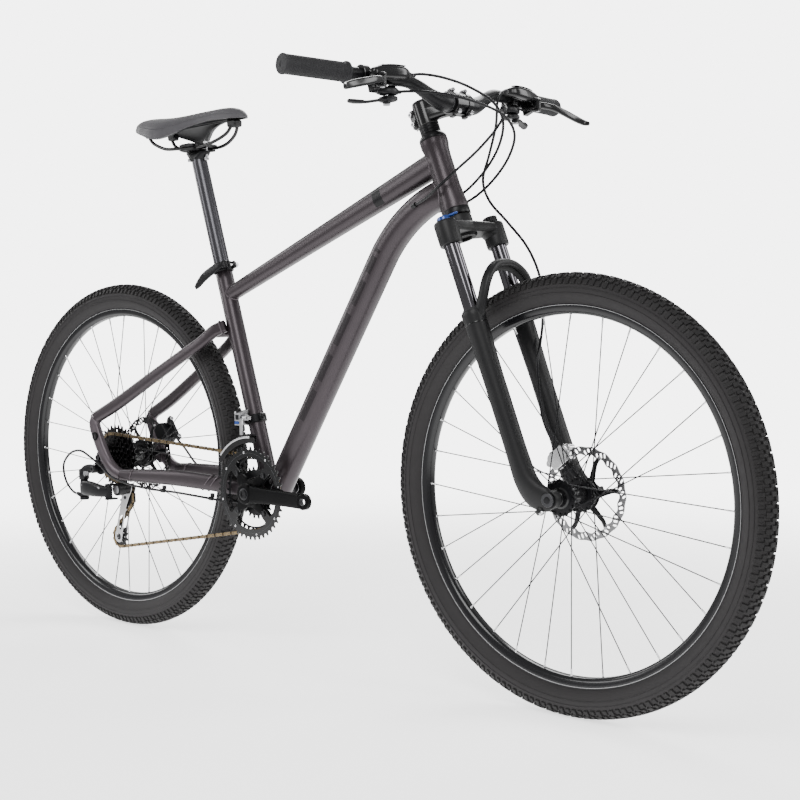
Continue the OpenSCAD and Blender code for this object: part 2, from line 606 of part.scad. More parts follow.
// Arm, spider and spindle, fitted to one another
module right_crank() color(satin_black) translate(bb_at) {
  difference() {
    arm();
    pin_y(-80, -50, spindle_r + run);
  }
  difference() {
    union() {
      pin_y(-61.7, -51.2, 28);
      for (k = [0 : 3])
        rotate([0, 45 + 90 * k, 0]) {
          translate([20, -56.3, -9]) cube([38, 5.1, 18]);
          translate([20, -61.7, -8]) cube([22, 8, 16]);
        }
    }
    pin_y(-80, -50, spindle_r + run);
    for (k = [0 : 3])
      rotate([0, 45 + 90 * k, 0]) {
        translate([bcd_big, 0, 0]) pin_y(-70, -40, 4.05);
        translate([bcd_small, 0, 0]) pin_y(-60, -40, 3.05);
      }
  }
  pin_y(-76.5, 62, spindle_r);
}
module left_crank() color(satin_black) translate(bb_at) difference() {
  rotate([0, 0, 180]) arm();
  pin_y(40, 76, spindle_r + run);
}
module chainring(teeth, y, phase, inner, bolts, bolt_r) difference() {
  plate_y(y - 1, y + 1) difference() {
    polygon(sprocket(teeth, phase));
    difference() {
      circle(r = inner, $fn = 64);
      for (k = [0 : 3]) rotate(45 + 90 * k) translate([bolts, 0]) circle(r = 9);
      for (k = [0 : 3]) rotate(45 + 90 * k) translate([bolts, -9]) square([inner - bolts, 18]);
    }
  }
  for (k = [0 : 3]) rotate([0, 45 + 90 * k, 0]) translate([bolts, 0, 0]) pin_y(y - 3, y + 3, bolt_r);
}
module chainrings() color(satin_black) translate(bb_at) {
  chainring(big_teeth, ring_y_big, 0, 74, bcd_big, 4.05);
  chainring(middle_teeth, ring_y_middle, roller_phase(1), 60, bcd_big, 4.05);
  chainring(small_teeth, ring_y_small, 0, 37, bcd_small, 3.05);
  for (k = [0 : 3]) rotate([0, 45 + 90 * k, 0]) {
    translate([bcd_big, 0, 0]) {
      pin_y(-60, -48, 4);
      pin_y(-60.5, -58.6, 6);
      pin_y(-48.9, -47.6, 6);
    }
    translate([bcd_small, 0, 0]) {
      pin_y(-53, -41, 3);
      pin_y(-51.1, -43.6, 5);
    }
  }
}

// ---------- Seat ----------
rail_z = 1012;
post_head_x = -336;
clamp_bolt_x = 25.5;
module seatpost() color(frame_grey) {
  at_seat_tube() difference() {
    translate([0, 0, post_low]) cylinder(h = post_high - post_low, r = seatpost_d / 2);
    translate([0, 0, post_low - 1]) cylinder(h = post_high - post_low - 14, r = seatpost_d / 2 - 2.2);
  }
  translate([post_head_x, 0, 1000]) difference() {
    hull() {
      translate([0, 0, -6]) cube([30, 22, 4], center = true);
      translate([0, 0, 3]) cube([60, 34, 4], center = true);
    }
    for (s = [-1, 1]) translate([clamp_bolt_x * s, 0, -20]) cylinder(h = 40, r = 3);
    for (s = [-1, 1]) translate([clamp_bolt_x * s, 0, -20]) cylinder(h = 12.2, r = 5.3);
  }
}
saddle_rail = [[-452, -30, 1034, 3.5, 3.5], [-440, -28, 1026, 3.5, 3.5], [-410, -24, 1014, 3.5, 3.5],
  [-375, -22, rail_z, 3.5, 3.5], [-335, -22, rail_z, 3.5, 3.5], [-300, -22, rail_z, 3.5, 3.5],
  [-268, -19, 1018, 3.5, 3.5], [-238, -12, 1032, 3.5, 3.5], [-226, -8, 1040, 3.5, 3.5]];
module saddle_rails() color(steel) both_sides() bar(curve(saddle_rail, 2), n = 10);
// Two jaws round the rails and the two bolts that pull them together
module saddle_clamp() color(satin_black) translate([post_head_x, 0, rail_z]) {
  difference() {
    union() {
      translate([-18, -30, 0.4]) cube([36, 60, 7]);
      translate([-18, -30, -6.8]) cube([36, 60, 6.4]);
    }
    for (s = [-1, 1]) translate([-60, 22 * s, 0]) rotate([0, 90, 0]) cylinder(h = 120, r = 3.6);
    translate([-10, -16, -8]) cube([20, 32, 20]);
  }
  for (s = [-1, 1]) translate([clamp_bolt_x * s, 0, -22]) {
    cylinder(h = 34, r = 2.8);
    translate([0, 0, -4]) cylinder(h = 6, r = 5);
    translate([0, 0, 28]) cylinder(h = 6, r = 5);
  }
  for (s = [-1, 1]) translate([s > 0 ? 17 : -30, -7, 0.4]) cube([13, 14, 6]);
}
// Plan of the plastic base, grown all round and carried further down
module saddle_plan(grow, deeper) hull() {
  for (s = [-1, 1]) translate([-450, 34 * s, 1046 - deeper])
    cylinder(h = 8 + grow + deeper, r = 14 + grow, $fn = 24);
  translate([-400, 0, 1042 - deeper]) cylinder(h = 12 + grow + deeper, r = 50 + grow, $fn = 32);
  translate([-214, 0, 1050 - deeper]) cylinder(h = 10 + grow + deeper, r = 9 + grow, $fn = 24);
}
module saddle_base() color(satin_black) difference() {
  saddle_plan(0, 0);
  translate([-500, -80, 1030]) cube([320, 160, 13.5]);
}
// Sections of the cover: x, half width, height of its middle, height of its edges
saddle_sections = [[-480, 28, 1072, 1062], [-477, 42, 1076, 1058], [-466, 56, 1079, 1050],
  [-450, 64, 1080, 1043], [-432, 68, 1079.5, 1037], [-405, 71, 1078, 1028],
  [-380, 66, 1077.5, 1027.5], [-356, 53, 1078.5, 1036],
  [-335, 42, 1080, 1046], [-309, 32, 1082, 1054], [-280, 26, 1083.5, 1059], [-252, 23, 1084.5, 1060],
  [-228, 20, 1083.5, 1060], [-208, 15.5, 1078.5, 1060], [-197, 10, 1071.5, 1060.5], [-192, 4, 1066, 1062]];
saddle_round = 0.83;
module saddle_shell() {
  n = 15;
  m = len(saddle_sections);
  points = [for (q = saddle_sections) for (k = [0 : n - 1]) let (a = 180 * k / (n - 1))
    [q[0], q[1] * sign(cos(a)) * pow(abs(cos(a)), saddle_round),
      q[3] + (q[2] - q[3]) * pow(abs(sin(a)), saddle_round)]];
  walls = [for (i = [0 : m - 2]) for (k = [0 : n - 1]) for (half = [0, 1])
    let (a = i * n + k, b = i * n + (k + 1) % n)
    half == 0 ? [a, b, a + n] : [b, b + n, a + n]];
  tail = [for (k = [n - 1 : -1 : 0]) k];
  nose = [for (k = [0 : n - 1]) (m - 1) * n + k];
  polyhedron(points, concat([tail], walls, [nose]));
}
module saddle_cover() color(rubber_black) difference() {
  saddle_shell();
  saddle_plan(0.3, 60);
}

// ---------- Fork ----------
module fork_crown() color(satin_black) at_steering() difference() {
  union() {
    translate([0, 0, 495]) cylinder(h = 247, r = steerer_r);
    translate([0, 0, 498]) cylinder(h = 27.5, r = 24);
    hull() {
      for (s = [-1, 1]) translate([leg_ahead, s * (leg_side - 4), 484]) cylinder(h = 22, r = 17, $fn = 32);
      translate([4, 0, 488]) cylinder(h = 20, r = 25, $fn = 32);
    }
    for (s = [-1, 1]) translate([leg_ahead, s * leg_side, crown_low])
      cylinder(h = crown_high - crown_low, r = 20);
  }
  translate([0, 0, 480]) cylinder(h = 300, r = 11.5);
  for (s = [-1, 1]) translate([leg_ahead, s * leg_side, crown_low - 1])
    cylinder(h = crown_high - crown_low + 2, r = stanchion_d / 2);
}
module stanchions() color(dark_steel) at_steering() both_sides() translate([leg_ahead, -leg_side, 0]) {
  ring_z(130, crown_high - 4, 11, stanchion_d / 2);
  translate([0, 0, crown_high - 4]) cylinder(h = 5, r = stanchion_d / 2);
}
leg = [[18, -leg_side, 200, 17.5, 17.5], [18, -leg_side, 90, 17.5, 18], [19, -leg_side, 45, 17, 20],
  [27, -64, 18, 13, 23], [40, -61, 4, 10, 22], [51, -58.5, -3, 8.4, 17], [60, -58.3, -11, 8, 8]];
arch = [[24, -66, 326, 9, 7], [44, -65, 352, 8, 7], [60, -54, 386, 8, 7], [64, -28, 408, 8, 7],
  [64, 0, 413, 8, 7], [64, 28, 408, 8, 7], [60, 54, 386, 8, 7], [44, 65, 352, 8, 7], [24, 66, 326, 9, 7]];
module fork_lowers() color(satin_black) at_steering() difference() {
  union() {
    both_sides() {
      bar(curve(leg, 2), n = 20);
      translate([leg_ahead, -leg_side, 190]) cylinder(h = 110, r1 = 17.5, r2 = 19.5);
      translate([leg_ahead, -leg_side, 300]) cylinder(h = seal_top - 300, r = 19.5);
      translate([leg_ahead, -leg_side, seal_top - 10]) cylinder(h = 10, r = 20.5);
      translate([fork_offset, 0, 0]) pin_y(-66, -50.1, 15);
    }
    bar(curve(arch, 2), side = [0, 0, 1], n = 12);
  }
  both_sides() {
    translate([leg_ahead, -leg_side, 45]) cylinder(h = 400, r = stanchion_d / 2 + run);
    translate([fork_offset, 0, 0]) pin_y(-80, -45, axle_r);
    translate([fork_offset, 0, 0]) pin_y(-100, -66.1, 15);
  }
}
module lockout_lever() color([0.10, 0.25, 0.60]) at_steering() translate([leg_ahead, -leg_side, crown_high]) {
  translate([0, 0, 1.4]) cylinder(h = 7, r = 12);
  translate([0, 0, 5]) bar([[0, 0, 0, 5, 3], [14, 5, 1, 4, 3], [24, 9, 2, 3, 2.5]]);
}
module preload_knob() color(satin_black) at_steering()
  translate([leg_ahead, leg_side, crown_high + 1.4]) difference() {
    cylinder(h = 12, r = 13);
    for (k = [0 : 11]) rotate(30 * k) translate([14, 0, -1]) cylinder(h = 14, r = 2);
  }

// ---------- Cockpit ----------
module stem() color(satin_black) {
  at_steering() {
    difference() {
      union() {
        translate([0, 0, stem_low]) cylinder(h = stem_high - stem_low, r = 18.5);
        bar([[-6, 0, 720, 14, 17], [30, 0, 715, 12, 14], [bar_ahead, 0, bar_up, 15, 17]]);
        translate([-27, -13, stem_low + 4]) cube([14, 26, stem_high - stem_low - 8]);
        translate([bar_ahead, 0, bar_up]) pin_y(-22, 22, 21);
      }
      translate([0, 0, stem_low - 30]) cylinder(h = 100, r = steerer_r);
      translate([bar_ahead, 0, bar_up]) pin_y(-30, 30, bar_clamp_r + 0.25);
      translate([-30, -1, stem_low - 1]) cube([20, 2, 60]);
      translate([bar_ahead + 4, -30, bar_up - 30]) cube([2, 60, 60]);
      for (h = [stem_low + 12, stem_high - 12]) translate([-21, 0, h]) pin_y(-20, 20, 2.55);
    }
    // Pinch bolts, faceplate bolts, spacers and top cap
    for (h = [stem_low + 12, stem_high - 12]) translate([-21, 0, h]) {
      pin_y(-13, 13, 2.5);
      pin_y(-17, -13, 4.5);
    }
    for (s = [-1, 1]) for (u = [-1, 1]) translate([bar_ahead - 12, 17 * s, bar_up + 20.2 * u])
      rotate([0, 90, 0]) cylinder(h = 34, r = 4);
    ring_z(head_high + 12.4, stem_low - 0.1, steerer_r, 18.5);
    translate([0, 0, stem_high + 0.1]) cylinder(h = 5, r = 18);
  }
}

// Centre of the straight outer bar at distance y from the middle
sweep_back = 0.187;
rise_out = 0.022;
function bar_on(y) = [bar_at[0] - 20 - sweep_back * (y - 165), y, bar_at[2] + 29.5 + rise_out * (y - 165)];
bar_line = concat(
  [for (q = [[0, 0, 0, 15.9], [0, 36, 0, 15.9], [-1, 52, 2, 14.5], [-6, 86, 17, 11.1], [-11, 112, 27, 11.1]])
    [bar_at[0] + q[0], q[1], bar_at[2] + q[2], q[3]]],
  [for (y = [135, 150, 250, bar_half - 1]) concat(bar_on(y), [bar_grip_r])]);
function bar_points(p) = [for (q = p) [q[0], q[1], q[2], q[3], q[3]]];
bar_wall = 2.4;
// Bore of the bar, running out of its end
function bore_points(p) = [for (q = p)
  [q[0], q[1] * 1.004 - 0.5, q[2], q[3] - bar_wall, q[3] - bar_wall]];
module handlebar() color(satin_black) both_sides() difference() {
  bar(bar_points(curve(bar_line, 2)), side = [1, 0, 0], n = 24);
  bar(bore_points(curve(bar_line, 1)), side = [1, 0, 0], n = 16);
}
module on_bar(y)
  translate(bar_on(y)) rotate([0, 0, atan(sweep_back)]) rotate([atan(rise_out), 0, 0]) children();
module grips() color(dark_steel) both_sides() difference() {
  union() {
    on_bar(242) pin_y(0, 127, 16);
    on_bar(242) pin_y(0, 4, 18.5);
    on_bar(bar_half) pin_y(-4, 1, 17);
  }
  on_bar(236) pin_y(0, 134, bar_grip_r + 0.05);
}

// Lever clamp and the master cylinder in front of the bar
lever_pivot = [362, 212, 1052];
module brake_lever_bodies() color(satin_black) both_sides() {
  difference() {
    union() {
      on_bar(203) pin_y(0, 14, 16.5);
      bar([[350, 136, 1069, 6, 7], [354, 150, 1070, 9, 10], [352, 185, 1068, 10, 11],
        [350, 214, 1066, 10, 10]], side = [1, 0, 0]);
      translate(bar_on(210) + [4, -7, -9]) cube([28, 14, 18]);
      translate(lever_pivot + [-14, -8, 7.4]) cube([20, 16, 4]);
      translate(lever_pivot + [-14, -8, -11.4]) cube([20, 16, 4]);
      translate(lever_pivot + [-18, -8, -11.4]) cube([7, 16, 22.8]);
    }
    on_bar(195) pin_y(-60, 40, bar_grip_r + 0.05);
    translate(lever_pivot + [-10.8, -12, -7.3]) cube([30, 30, 14.6]);
  }
  translate(lever_pivot + [0, 0, -12]) cylinder(h = 24, r = 3);
}
brake_blade = [[-4, 0, 0, 6, 6], [6, 10, -1, 5, 6], [15, 30, -4, 3.5, 6], [19, 60, -11, 3, 6.5],
  [20, 90, -18, 3, 6.5], [24, 112, -24, 3, 5.5], [30, 120, -26, 3, 4]];
module brake_lever() translate(lever_pivot) difference() {
  union() {
    bar(curve(brake_blade, 2), side = [1, 0, 0]);
    translate([0, 0, -7]) cylinder(h = 14, r = 6.5);
  }
  translate([0, 0, -20]) cylinder(h = 40, r = 3.05);
}
module left_brake_lever() color(satin_black) brake_lever();
module right_brake_lever() color(satin_black) mirror([0, 1, 0]) brake_lever();

shift_pivot = [338, 176, 1034];
module shifter_bodies() color(satin_black) both_sides() difference() {
  union() {
    on_bar(172) pin_y(0, 12, 15);
    bar([[330, 150, 1042, 9, 6], [334, 163, 1041, 13, 8], [332, 180, 1040, 12, 7], [328, 190, 1040, 6, 4]],
      side = [1, 0, 0]);
    translate(shift_pivot + [0, 0, -16]) cylinder(h = 22, r = 2.5);
    translate(shift_pivot + [0, 0, -18]) cylinder(h = 3, r = 6);
  }
  on_bar(150) pin_y(-20, 60, bar_grip_r + 0.05);
}
// Thumb paddle under the bar
paddle = [[0, 0, 0, 6, 3], [-4, 14, 0, 6, 2.5], [-12, 36, -4, 6.5, 2.5], [-22, 54, -4, 8, 3],
  [-27, 62, -3, 6, 3]];
module shift_lever() translate(shift_pivot + [0, 0, -10]) difference() {
  union() {
    bar(curve(paddle, 2), side = [1, 0, 0], n = 12);
    translate([0, 0, -4.5]) cylinder(h = 9, r = 7);
  }
  translate([0, 0, -20]) cylinder(h = 40, r = 2.55);
}
module left_shift_lever() color(satin_black) shift_lever();
module right_shift_lever() color(satin_black) mirror([0, 1, 0]) shift_lever();

// ---------- Cables ----------
// Rear brake hose: right lever, loop ahead of the head tube, left port in the down tube
rear_brake_route = [[352, -133, 1069], [362, -110, 1072], [378, -72, 1068], [394, -26, 1056], [408, 20, 1034],
  [406, 50, 1004], [390, 60, 966], [366, 56, 928], [334, 46, 894], [304, 36, 874], [276, 27, 864]];
// Rear shift housing: right shifter, wider loop, left port
rear_shift_route = [[330, -148, 1042], [352, -118, 1044], [384, -78, 1040], [408, -30, 1030], [424, 26, 1012],
  [420, 64, 984], [400, 76, 948], [372, 70, 910], [338, 56, 878], [302, 40, 860], [268, 27, 853]];
// Front shift housing: left shifter, crosses ahead of the head tube to the right port
front_shift_route = [[330, 148, 1042], [352, 120, 1046], [384, 88, 1030], [396, 46, 994], [386, 6, 954],
  [362, -20, 922], [332, -34, 894], [300, -33, 874], [270, -27, 864]];
// Front brake hose: left lever, down past the crown, inside the left leg to the caliper
front_brake_route = [[352, 133, 1069], [358, 112, 1066], [368, 84, 1044], [378, 66, 1000], [374, 52, 950],
  [366, 44, 905], [376, 50, 868], [402, 66, 832], [430, 84, 790], [448, 94, 745], [460, 90, 700],
  [470, 76, 655], [480, 56, 622], [484, 42, 590], [488, 40.5, 540], [494, 40, 500], [504, 40, 474],
  [514, 40, 458]];
// Rear shift housing again: bottom bracket, under the right chain stay, loop behind the derailleur
rear_shift_end = [[-160, -24, 300], [-236, -42, 302], [-282, -56, 307], [-350, -66, 312], [-412, -78, 315],
  [-470, -88, 322], [-520, -94, 334], [-556, -96, 356], [-590, -97, 373], [-625, -96, 384], [-662, -95, 376],
  [-688, -94, 350], [-684, -92, 316], [-662, -91, 294], [-640, -90, 288]];
// Rear brake hose again: along the left chain stay to the caliper
rear_brake_end = [[-160, 24, 300], [-240, 44, 308], [-330, 64, 314], [-420, 84, 330], [-470, 92, 352],
  [-498, 88, 382], [-506, 74, 402]];
module control_cables() color(rubber_black) {
  hose(rear_brake_route, 2.5);
  hose(rear_shift_route, 2.5);
  hose(front_shift_route, 2.5);
  hose(front_brake_route, 2.5);
  hose(rear_shift_end, 2.5);
  hose(rear_brake_end, 2.5);
}

head_tube();
top_tube();
down_tube();
seat_tube();
chain_stays();
seat_stays();
dropouts();
headset_bearings();
bottom_bracket();
seat_clamp();
front_derailleur();
rear_axle();
rear_caliper();
derailleur_bracket();
chain();
control_cables();
derailleur_link();
derailleur_knuckle();
derailleur_cage();
guide_pulley();
tension_pulley();
front_derailleur_cage();
right_crank();
left_crank();
chainrings();
rear_tyre();
rear_rim();
rear_spokes();
rear_hub();
rear_rotor();
cassette();
seatpost();
saddle_clamp();
saddle_rails();
saddle_base();
saddle_cover();
seat_clamp_lever();
fork_crown();
stanchions();
stem();
handlebar();
grips();
brake_lever_bodies();
shifter_bodies();
right_brake_lever();
left_brake_lever();
right_shift_lever();
left_shift_lever();
fork_lowers();
front_axle();
front_caliper();
front_tyre();
front_rim();
front_spokes();
front_hub();
front_rotor();
front_skewer_lever();
rear_skewer_lever();
lockout_lever();
preload_knob();
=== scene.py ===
"""Looks of the mountain bike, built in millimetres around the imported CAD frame."""
import json
import math

import bmesh
import bpy
import numpy as np
from mathutils import Matrix, Vector
from mathutils.geometry import tessellate_polygon


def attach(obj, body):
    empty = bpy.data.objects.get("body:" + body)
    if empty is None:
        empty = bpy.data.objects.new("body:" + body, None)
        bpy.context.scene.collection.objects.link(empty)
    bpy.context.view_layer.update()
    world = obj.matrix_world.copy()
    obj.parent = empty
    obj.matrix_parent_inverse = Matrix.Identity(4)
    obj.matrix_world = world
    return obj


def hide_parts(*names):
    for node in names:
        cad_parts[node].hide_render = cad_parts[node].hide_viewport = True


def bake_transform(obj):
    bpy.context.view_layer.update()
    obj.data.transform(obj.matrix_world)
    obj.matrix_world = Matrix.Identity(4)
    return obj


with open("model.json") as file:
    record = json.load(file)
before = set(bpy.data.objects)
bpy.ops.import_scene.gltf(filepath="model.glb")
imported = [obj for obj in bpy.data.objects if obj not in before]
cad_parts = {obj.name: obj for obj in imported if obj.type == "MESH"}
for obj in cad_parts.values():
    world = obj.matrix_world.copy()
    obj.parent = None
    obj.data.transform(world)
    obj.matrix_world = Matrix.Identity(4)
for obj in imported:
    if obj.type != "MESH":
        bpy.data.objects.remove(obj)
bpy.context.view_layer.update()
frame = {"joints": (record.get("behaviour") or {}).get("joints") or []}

MM = 0.001
TAU = 2 * math.pi
JOINTS = {j["name"]: j for j in frame["joints"]}
X, Y, Z, ORIGIN = (1, 0, 0), (0, 1, 0), (0, 0, 1), (0, 0, 0)


# ---------- Vectors and curves ----------
def c(deg):
    return math.cos(math.radians(deg))


def s(deg):
    return math.sin(math.radians(deg))


def polar(r, deg):
    """Point at radius r and an angle in degrees."""
    return (r * c(deg), r * s(deg))


def wheel_point(r, deg, y):
    """Point at radius r and an angle in a wheel's plane, y to its left."""
    return [r * c(deg), y, r * s(deg)]


def unit(v):
    """Vector of length one."""
    v = np.asarray(v, float)
    return v / np.linalg.norm(v)


def joint_at(name):
    """A hinge's point in millimetres."""
    return np.array(JOINTS[name]["pos_m"]) / MM


def joint_axis(name):
    """A joint's axis as a unit vector."""
    return unit(JOINTS[name]["axis"])


def curve(points, steps):
    """Catmull-Rom curve through rows of numbers, with steps between neighbours."""
    p = np.asarray(points, float)
    last = len(p) - 1
    rows = []
    for i in range(last):
        a, b, c, d = p[max(i - 1, 0)], p[i], p[i + 1], p[min(i + 2, last)]
        for j in range(steps):
            t = j / steps
            rows.append(0.5 * (2 * b + (c - a) * t + (2 * a - 5 * b + 4 * c - d) * t ** 2
                               + (3 * b - a - 3 * c + d) * t ** 3))
    rows.append(p[last])
    return np.array(rows)


def arc(centre, radius, start, end, n):
    """Points on a circle between two angles in degrees."""
    a = np.radians(np.linspace(start, end, n))
    return np.column_stack([centre[0] + radius * np.cos(a), centre[1] + radius * np.sin(a)])


def circle(centre, radius, n=32):
    return arc(centre, radius, 0, 360 * (n - 1) / n, n)


def smooth_loop(points, steps=4):
    """Closed outline eased through its points."""
    return curve([list(p) for p in points + points[:1]], steps)[:-1]


# ---------- Shapes: points, faces and one finish per face ----------
class Shape:
    def __init__(self, points, faces, finish):
        self.points = np.asarray(points, float).reshape(-1, 3)
        self.faces = [tuple(int(i) for i in f) for f in faces]
        self.finish = finish if isinstance(finish, list) else [finish] * len(self.faces)


def joined(shapes):
    """One shape from several, in order."""
    points, faces, finish, start = [], [], [], 0
    for s in shapes:
        points.append(s.points)
        faces += [tuple(i + start for i in f) for f in s.faces]
        finish += s.finish
        start += len(s.points)
    return Shape(np.vstack(points), faces, finish)


def placed(shape, origin, x=X, y=Y, z=Z):
    """The shape with its own axes laid along x, y and z from origin."""
    return Shape(shape.points @ np.array([x, y, z], float) + np.asarray(origin, float),
                 shape.faces, shape.finish)


def turned(shape, degrees, centre=ORIGIN, axis=Y):
    """The shape turned about an axis through centre."""
    turn = np.array(Matrix.Rotation(math.radians(degrees), 3, Vector(axis)))
    c = np.asarray(centre, float)
    return Shape((shape.points - c) @ turn.T + c, shape.faces, shape.finish)


def flipped(shape):
    """The shape mirrored from right to left."""
    return Shape(shape.points * [1, -1, 1], [f[::-1] for f in shape.faces], shape.finish)


def both(*shapes):
    """The shapes and their mirror images."""
    s = joined(shapes)
    return joined([s, flipped(s)])


def grid_faces(rings, n, closed):
    """Quads between rings of n points each."""
    faces = []
    for i in range(rings if closed else rings - 1):
        a, b = i * n, (i + 1) % rings * n
        faces += [(a + k, a + (k + 1) % n, b + (k + 1) % n, b + k) for k in range(n)]
    return faces


def sweep(points, finish, n=24, steps=6, side=Y, power=2.0, ends="flat", closed=False):
    """Bar through rows [x, y, z, half width, half height]; power above 2 squares its section."""
    rows = np.asarray(points, float) if closed else curve(points, steps)
    centre, half_w, half_h = rows[:, :3], rows[:, 3], rows[:, 4]
    if closed:
        tangents = np.roll(centre, -1, 0) - np.roll(centre, 1, 0)
    else:
        tangents = np.gradient(centre, axis=0)
    tangents /= np.linalg.norm(tangents, axis=1)[:, None]
    a = np.arange(n) * TAU / n
    c = np.sign(np.cos(a)) * np.abs(np.cos(a)) ** (2 / power)
    s = np.sign(np.sin(a)) * np.abs(np.sin(a)) ** (2 / power)
    rings, m = [], np.asarray(side, float)
    for i, t in enumerate(tangents):
        m = unit(m - (m @ t) * t)
        u = np.cross(t, m)
        rings.append((centre[i], t, m, u, half_w[i], half_h[i]))
    if ends == "round":
        first, last = rings[0], rings[-1]
        start = [dome(first, -1, q) for q in (85, 65, 40, 18)]
        end = [dome(last, 1, q) for q in (18, 40, 65, 85)]
        rings = start + rings + end
    out = [p + w * c[:, None] * m + h * s[:, None] * u for p, t, m, u, w, h in rings]
    faces = grid_faces(len(out), n, closed)
    if not closed:
        faces += [tuple(range(n)), tuple((len(out) - 1) * n + k for k in range(n))]
    return Shape(np.vstack(out), faces, finish)


def dome(ring, sign, q):
    """A sweep's end ring moved out and shrunk, q degrees up its rounded end."""
    p, t, m, u, w, h = ring
    reach = min(w, h) * math.sin(math.radians(q))
    k = math.cos(math.radians(q))
    return (p + sign * reach * t, t, m, u, w * k, h * k)


def tube(points, r, finish, n=12, steps=6, **more):
    """Round bar of one radius through points."""
    return sweep([[*p[:3], r, r] for p in points], finish, n, steps, **more)


def revolve(profile, finish, centre=ORIGIN, axis=Y, n=64, closed=False):
    """Turns rows (radius, distance along the axis) about the axis; closed joins last to first."""
    axis = unit(axis)
    u = unit(np.cross(axis, [0.3, 0.2, 1.0] if abs(axis[2]) < 0.9 else [1.0, 0, 0]))
    v = np.cross(axis, u)
    a = np.arange(n) * TAU / n
    spokes = np.cos(a)[:, None] * u + np.sin(a)[:, None] * v
    points = [np.asarray(centre, float) + max(r, 1e-4) * spokes + y * axis for r, y in profile]
    faces = grid_faces(len(points), n, closed)
    if not closed:
        faces += [tuple(range(n)), tuple((len(points) - 1) * n + k for k in range(n))]
    return Shape(np.vstack(points), faces, finish)


def rod(a, b, r, finish, n=20):
    """Round bar from a to b with chamfered ends."""
    a, b = np.asarray(a, float), np.asarray(b, float)
    length = np.linalg.norm(b - a)
    c = min(0.3, r / 3, length / 3)
    return revolve([(r - c, 0), (r, c), (r, length - c), (r - c, length)], finish, a, b - a, n)


def ring(a, b, r_in, r_out, finish, n=48, chamfer=0.4):
    """Ring with its axis from a to b."""
    a, b = np.asarray(a, float), np.asarray(b, float)
    h = np.linalg.norm(b - a)
    c = min(chamfer, h / 3, (r_out - r_in) / 3)
    return revolve([(r_in, c), (r_in + c, 0), (r_out - c, 0), (r_out, c), (r_out, h - c), (r_out - c, h),
                    (r_in + c, h), (r_in, h - c)], finish, a, b - a, n, closed=True)


def signed_area(loop):
    x, y = loop[:, 0], loop[:, 1]
    return 0.5 * np.sum(x * np.roll(y, -1) - np.roll(x, -1) * y)


def plate(loops, y0, y1, finish, chamfer=0.25):
    """Flat plate in the XZ plane between y0 and y1: an outline, then its holes."""
    flat, inset = [], []
    for i, loop in enumerate(loops):
        p = np.asarray(loop, float)
        if (signed_area(p) > 0) != (i == 0):
            p = p[::-1]
        along = np.roll(p, -1, 0) - np.roll(p, 1, 0)
        normal = np.column_stack([along[:, 1], -along[:, 0]])
        normal /= np.maximum(np.linalg.norm(normal, axis=1), 1e-9)[:, None]
        flat.append(p)
        inset.append(p - chamfer * normal)
    caps = tessellate_polygon([[Vector((x, z, 0)) for x, z in p] for p in inset])
    points, faces = [], []
    total = sum(len(p) for p in flat)
    levels = [(inset, y0), (flat, y0 + chamfer), (flat, y1 - chamfer), (inset, y1)]
    for outline, y in levels:
        both_axes = np.vstack(outline)
        points.append(np.column_stack([both_axes[:, 0], np.full(total, y), both_axes[:, 1]]))
    start = 0
    for p in flat:
        n = len(p)
        for level in range(3):
            a, b = level * total + start, (level + 1) * total + start
            faces += [(a + k, a + (k + 1) % n, b + (k + 1) % n, b + k) for k in range(n)]
        start += n
    faces += [t[::-1] for t in caps] + [tuple(i + 3 * total for i in t) for t in caps]
    return Shape(np.vstack(points), faces, finish)


def hull(points, finish):
    """Convex shape round the points, with flat faces kept whole."""
    bm = bmesh.new()
    for p in points:
        bm.verts.new([float(x) for x in p])
    made = bmesh.ops.convex_hull(bm, input=bm.verts[:])
    spare = [g for g in made["geom_interior"] + made["geom_unused"] if isinstance(g, bmesh.types.BMVert)]
    bmesh.ops.delete(bm, geom=list(set(spare)), context="VERTS")
    bmesh.ops.dissolve_limit(bm, angle_limit=math.radians(2), verts=bm.verts[:], edges=bm.edges[:])
    bm.verts.index_update()
    shape = Shape([v.co[:] for v in bm.verts], [[v.index for v in f.verts] for f in bm.faces], finish)
    bm.free()
    return shape


def block(centre, size, finish, edge=1.0):
    """Box with chamfered edges."""
    c, h = np.asarray(centre, float), np.asarray(size, float) / 2
    corners = []
    for sx in (-1, 1):
        for sy in (-1, 1):
            for sz in (-1, 1):
                s = np.array([sx, sy, sz])
                corners += [c + s * (h - edge * np.array(k)) for k in ((0, 1, 1), (1, 0, 1), (1, 1, 0))]
    return hull(corners, finish)


def disc_points(centre, axis, r, y0, y1, n=24, edge=0.8):
    """Points of a chamfered round slab, for hulls."""
    return revolve([(r - edge, y0), (r, y0 + edge), (r, y1 - edge), (r - edge, y1)], "", centre,
                   axis, n).points


def slabs(axis, finish, *discs):
    """Hull round slabs with one axis; each is centre, radius, two distances along the axis, sides, edge."""
    return hull(np.vstack([disc_points(disc[0], axis, *disc[1:]) for disc in discs]), finish)


def bolt(at, axis, r, height, finish, socket=True):
    """Round screw head with a hexagon socket; at is its seat and axis points out."""
    top = [(r * 0.55, height), (r * 0.5, height * 0.35), (0, height * 0.35)] if socket else [(0, height)]
    return revolve([(r, 0), (r, height * 0.7), (r * 0.85, height)] + top, finish, at, axis, 24)


# ---------- Finishes ----------
FINISH = {}


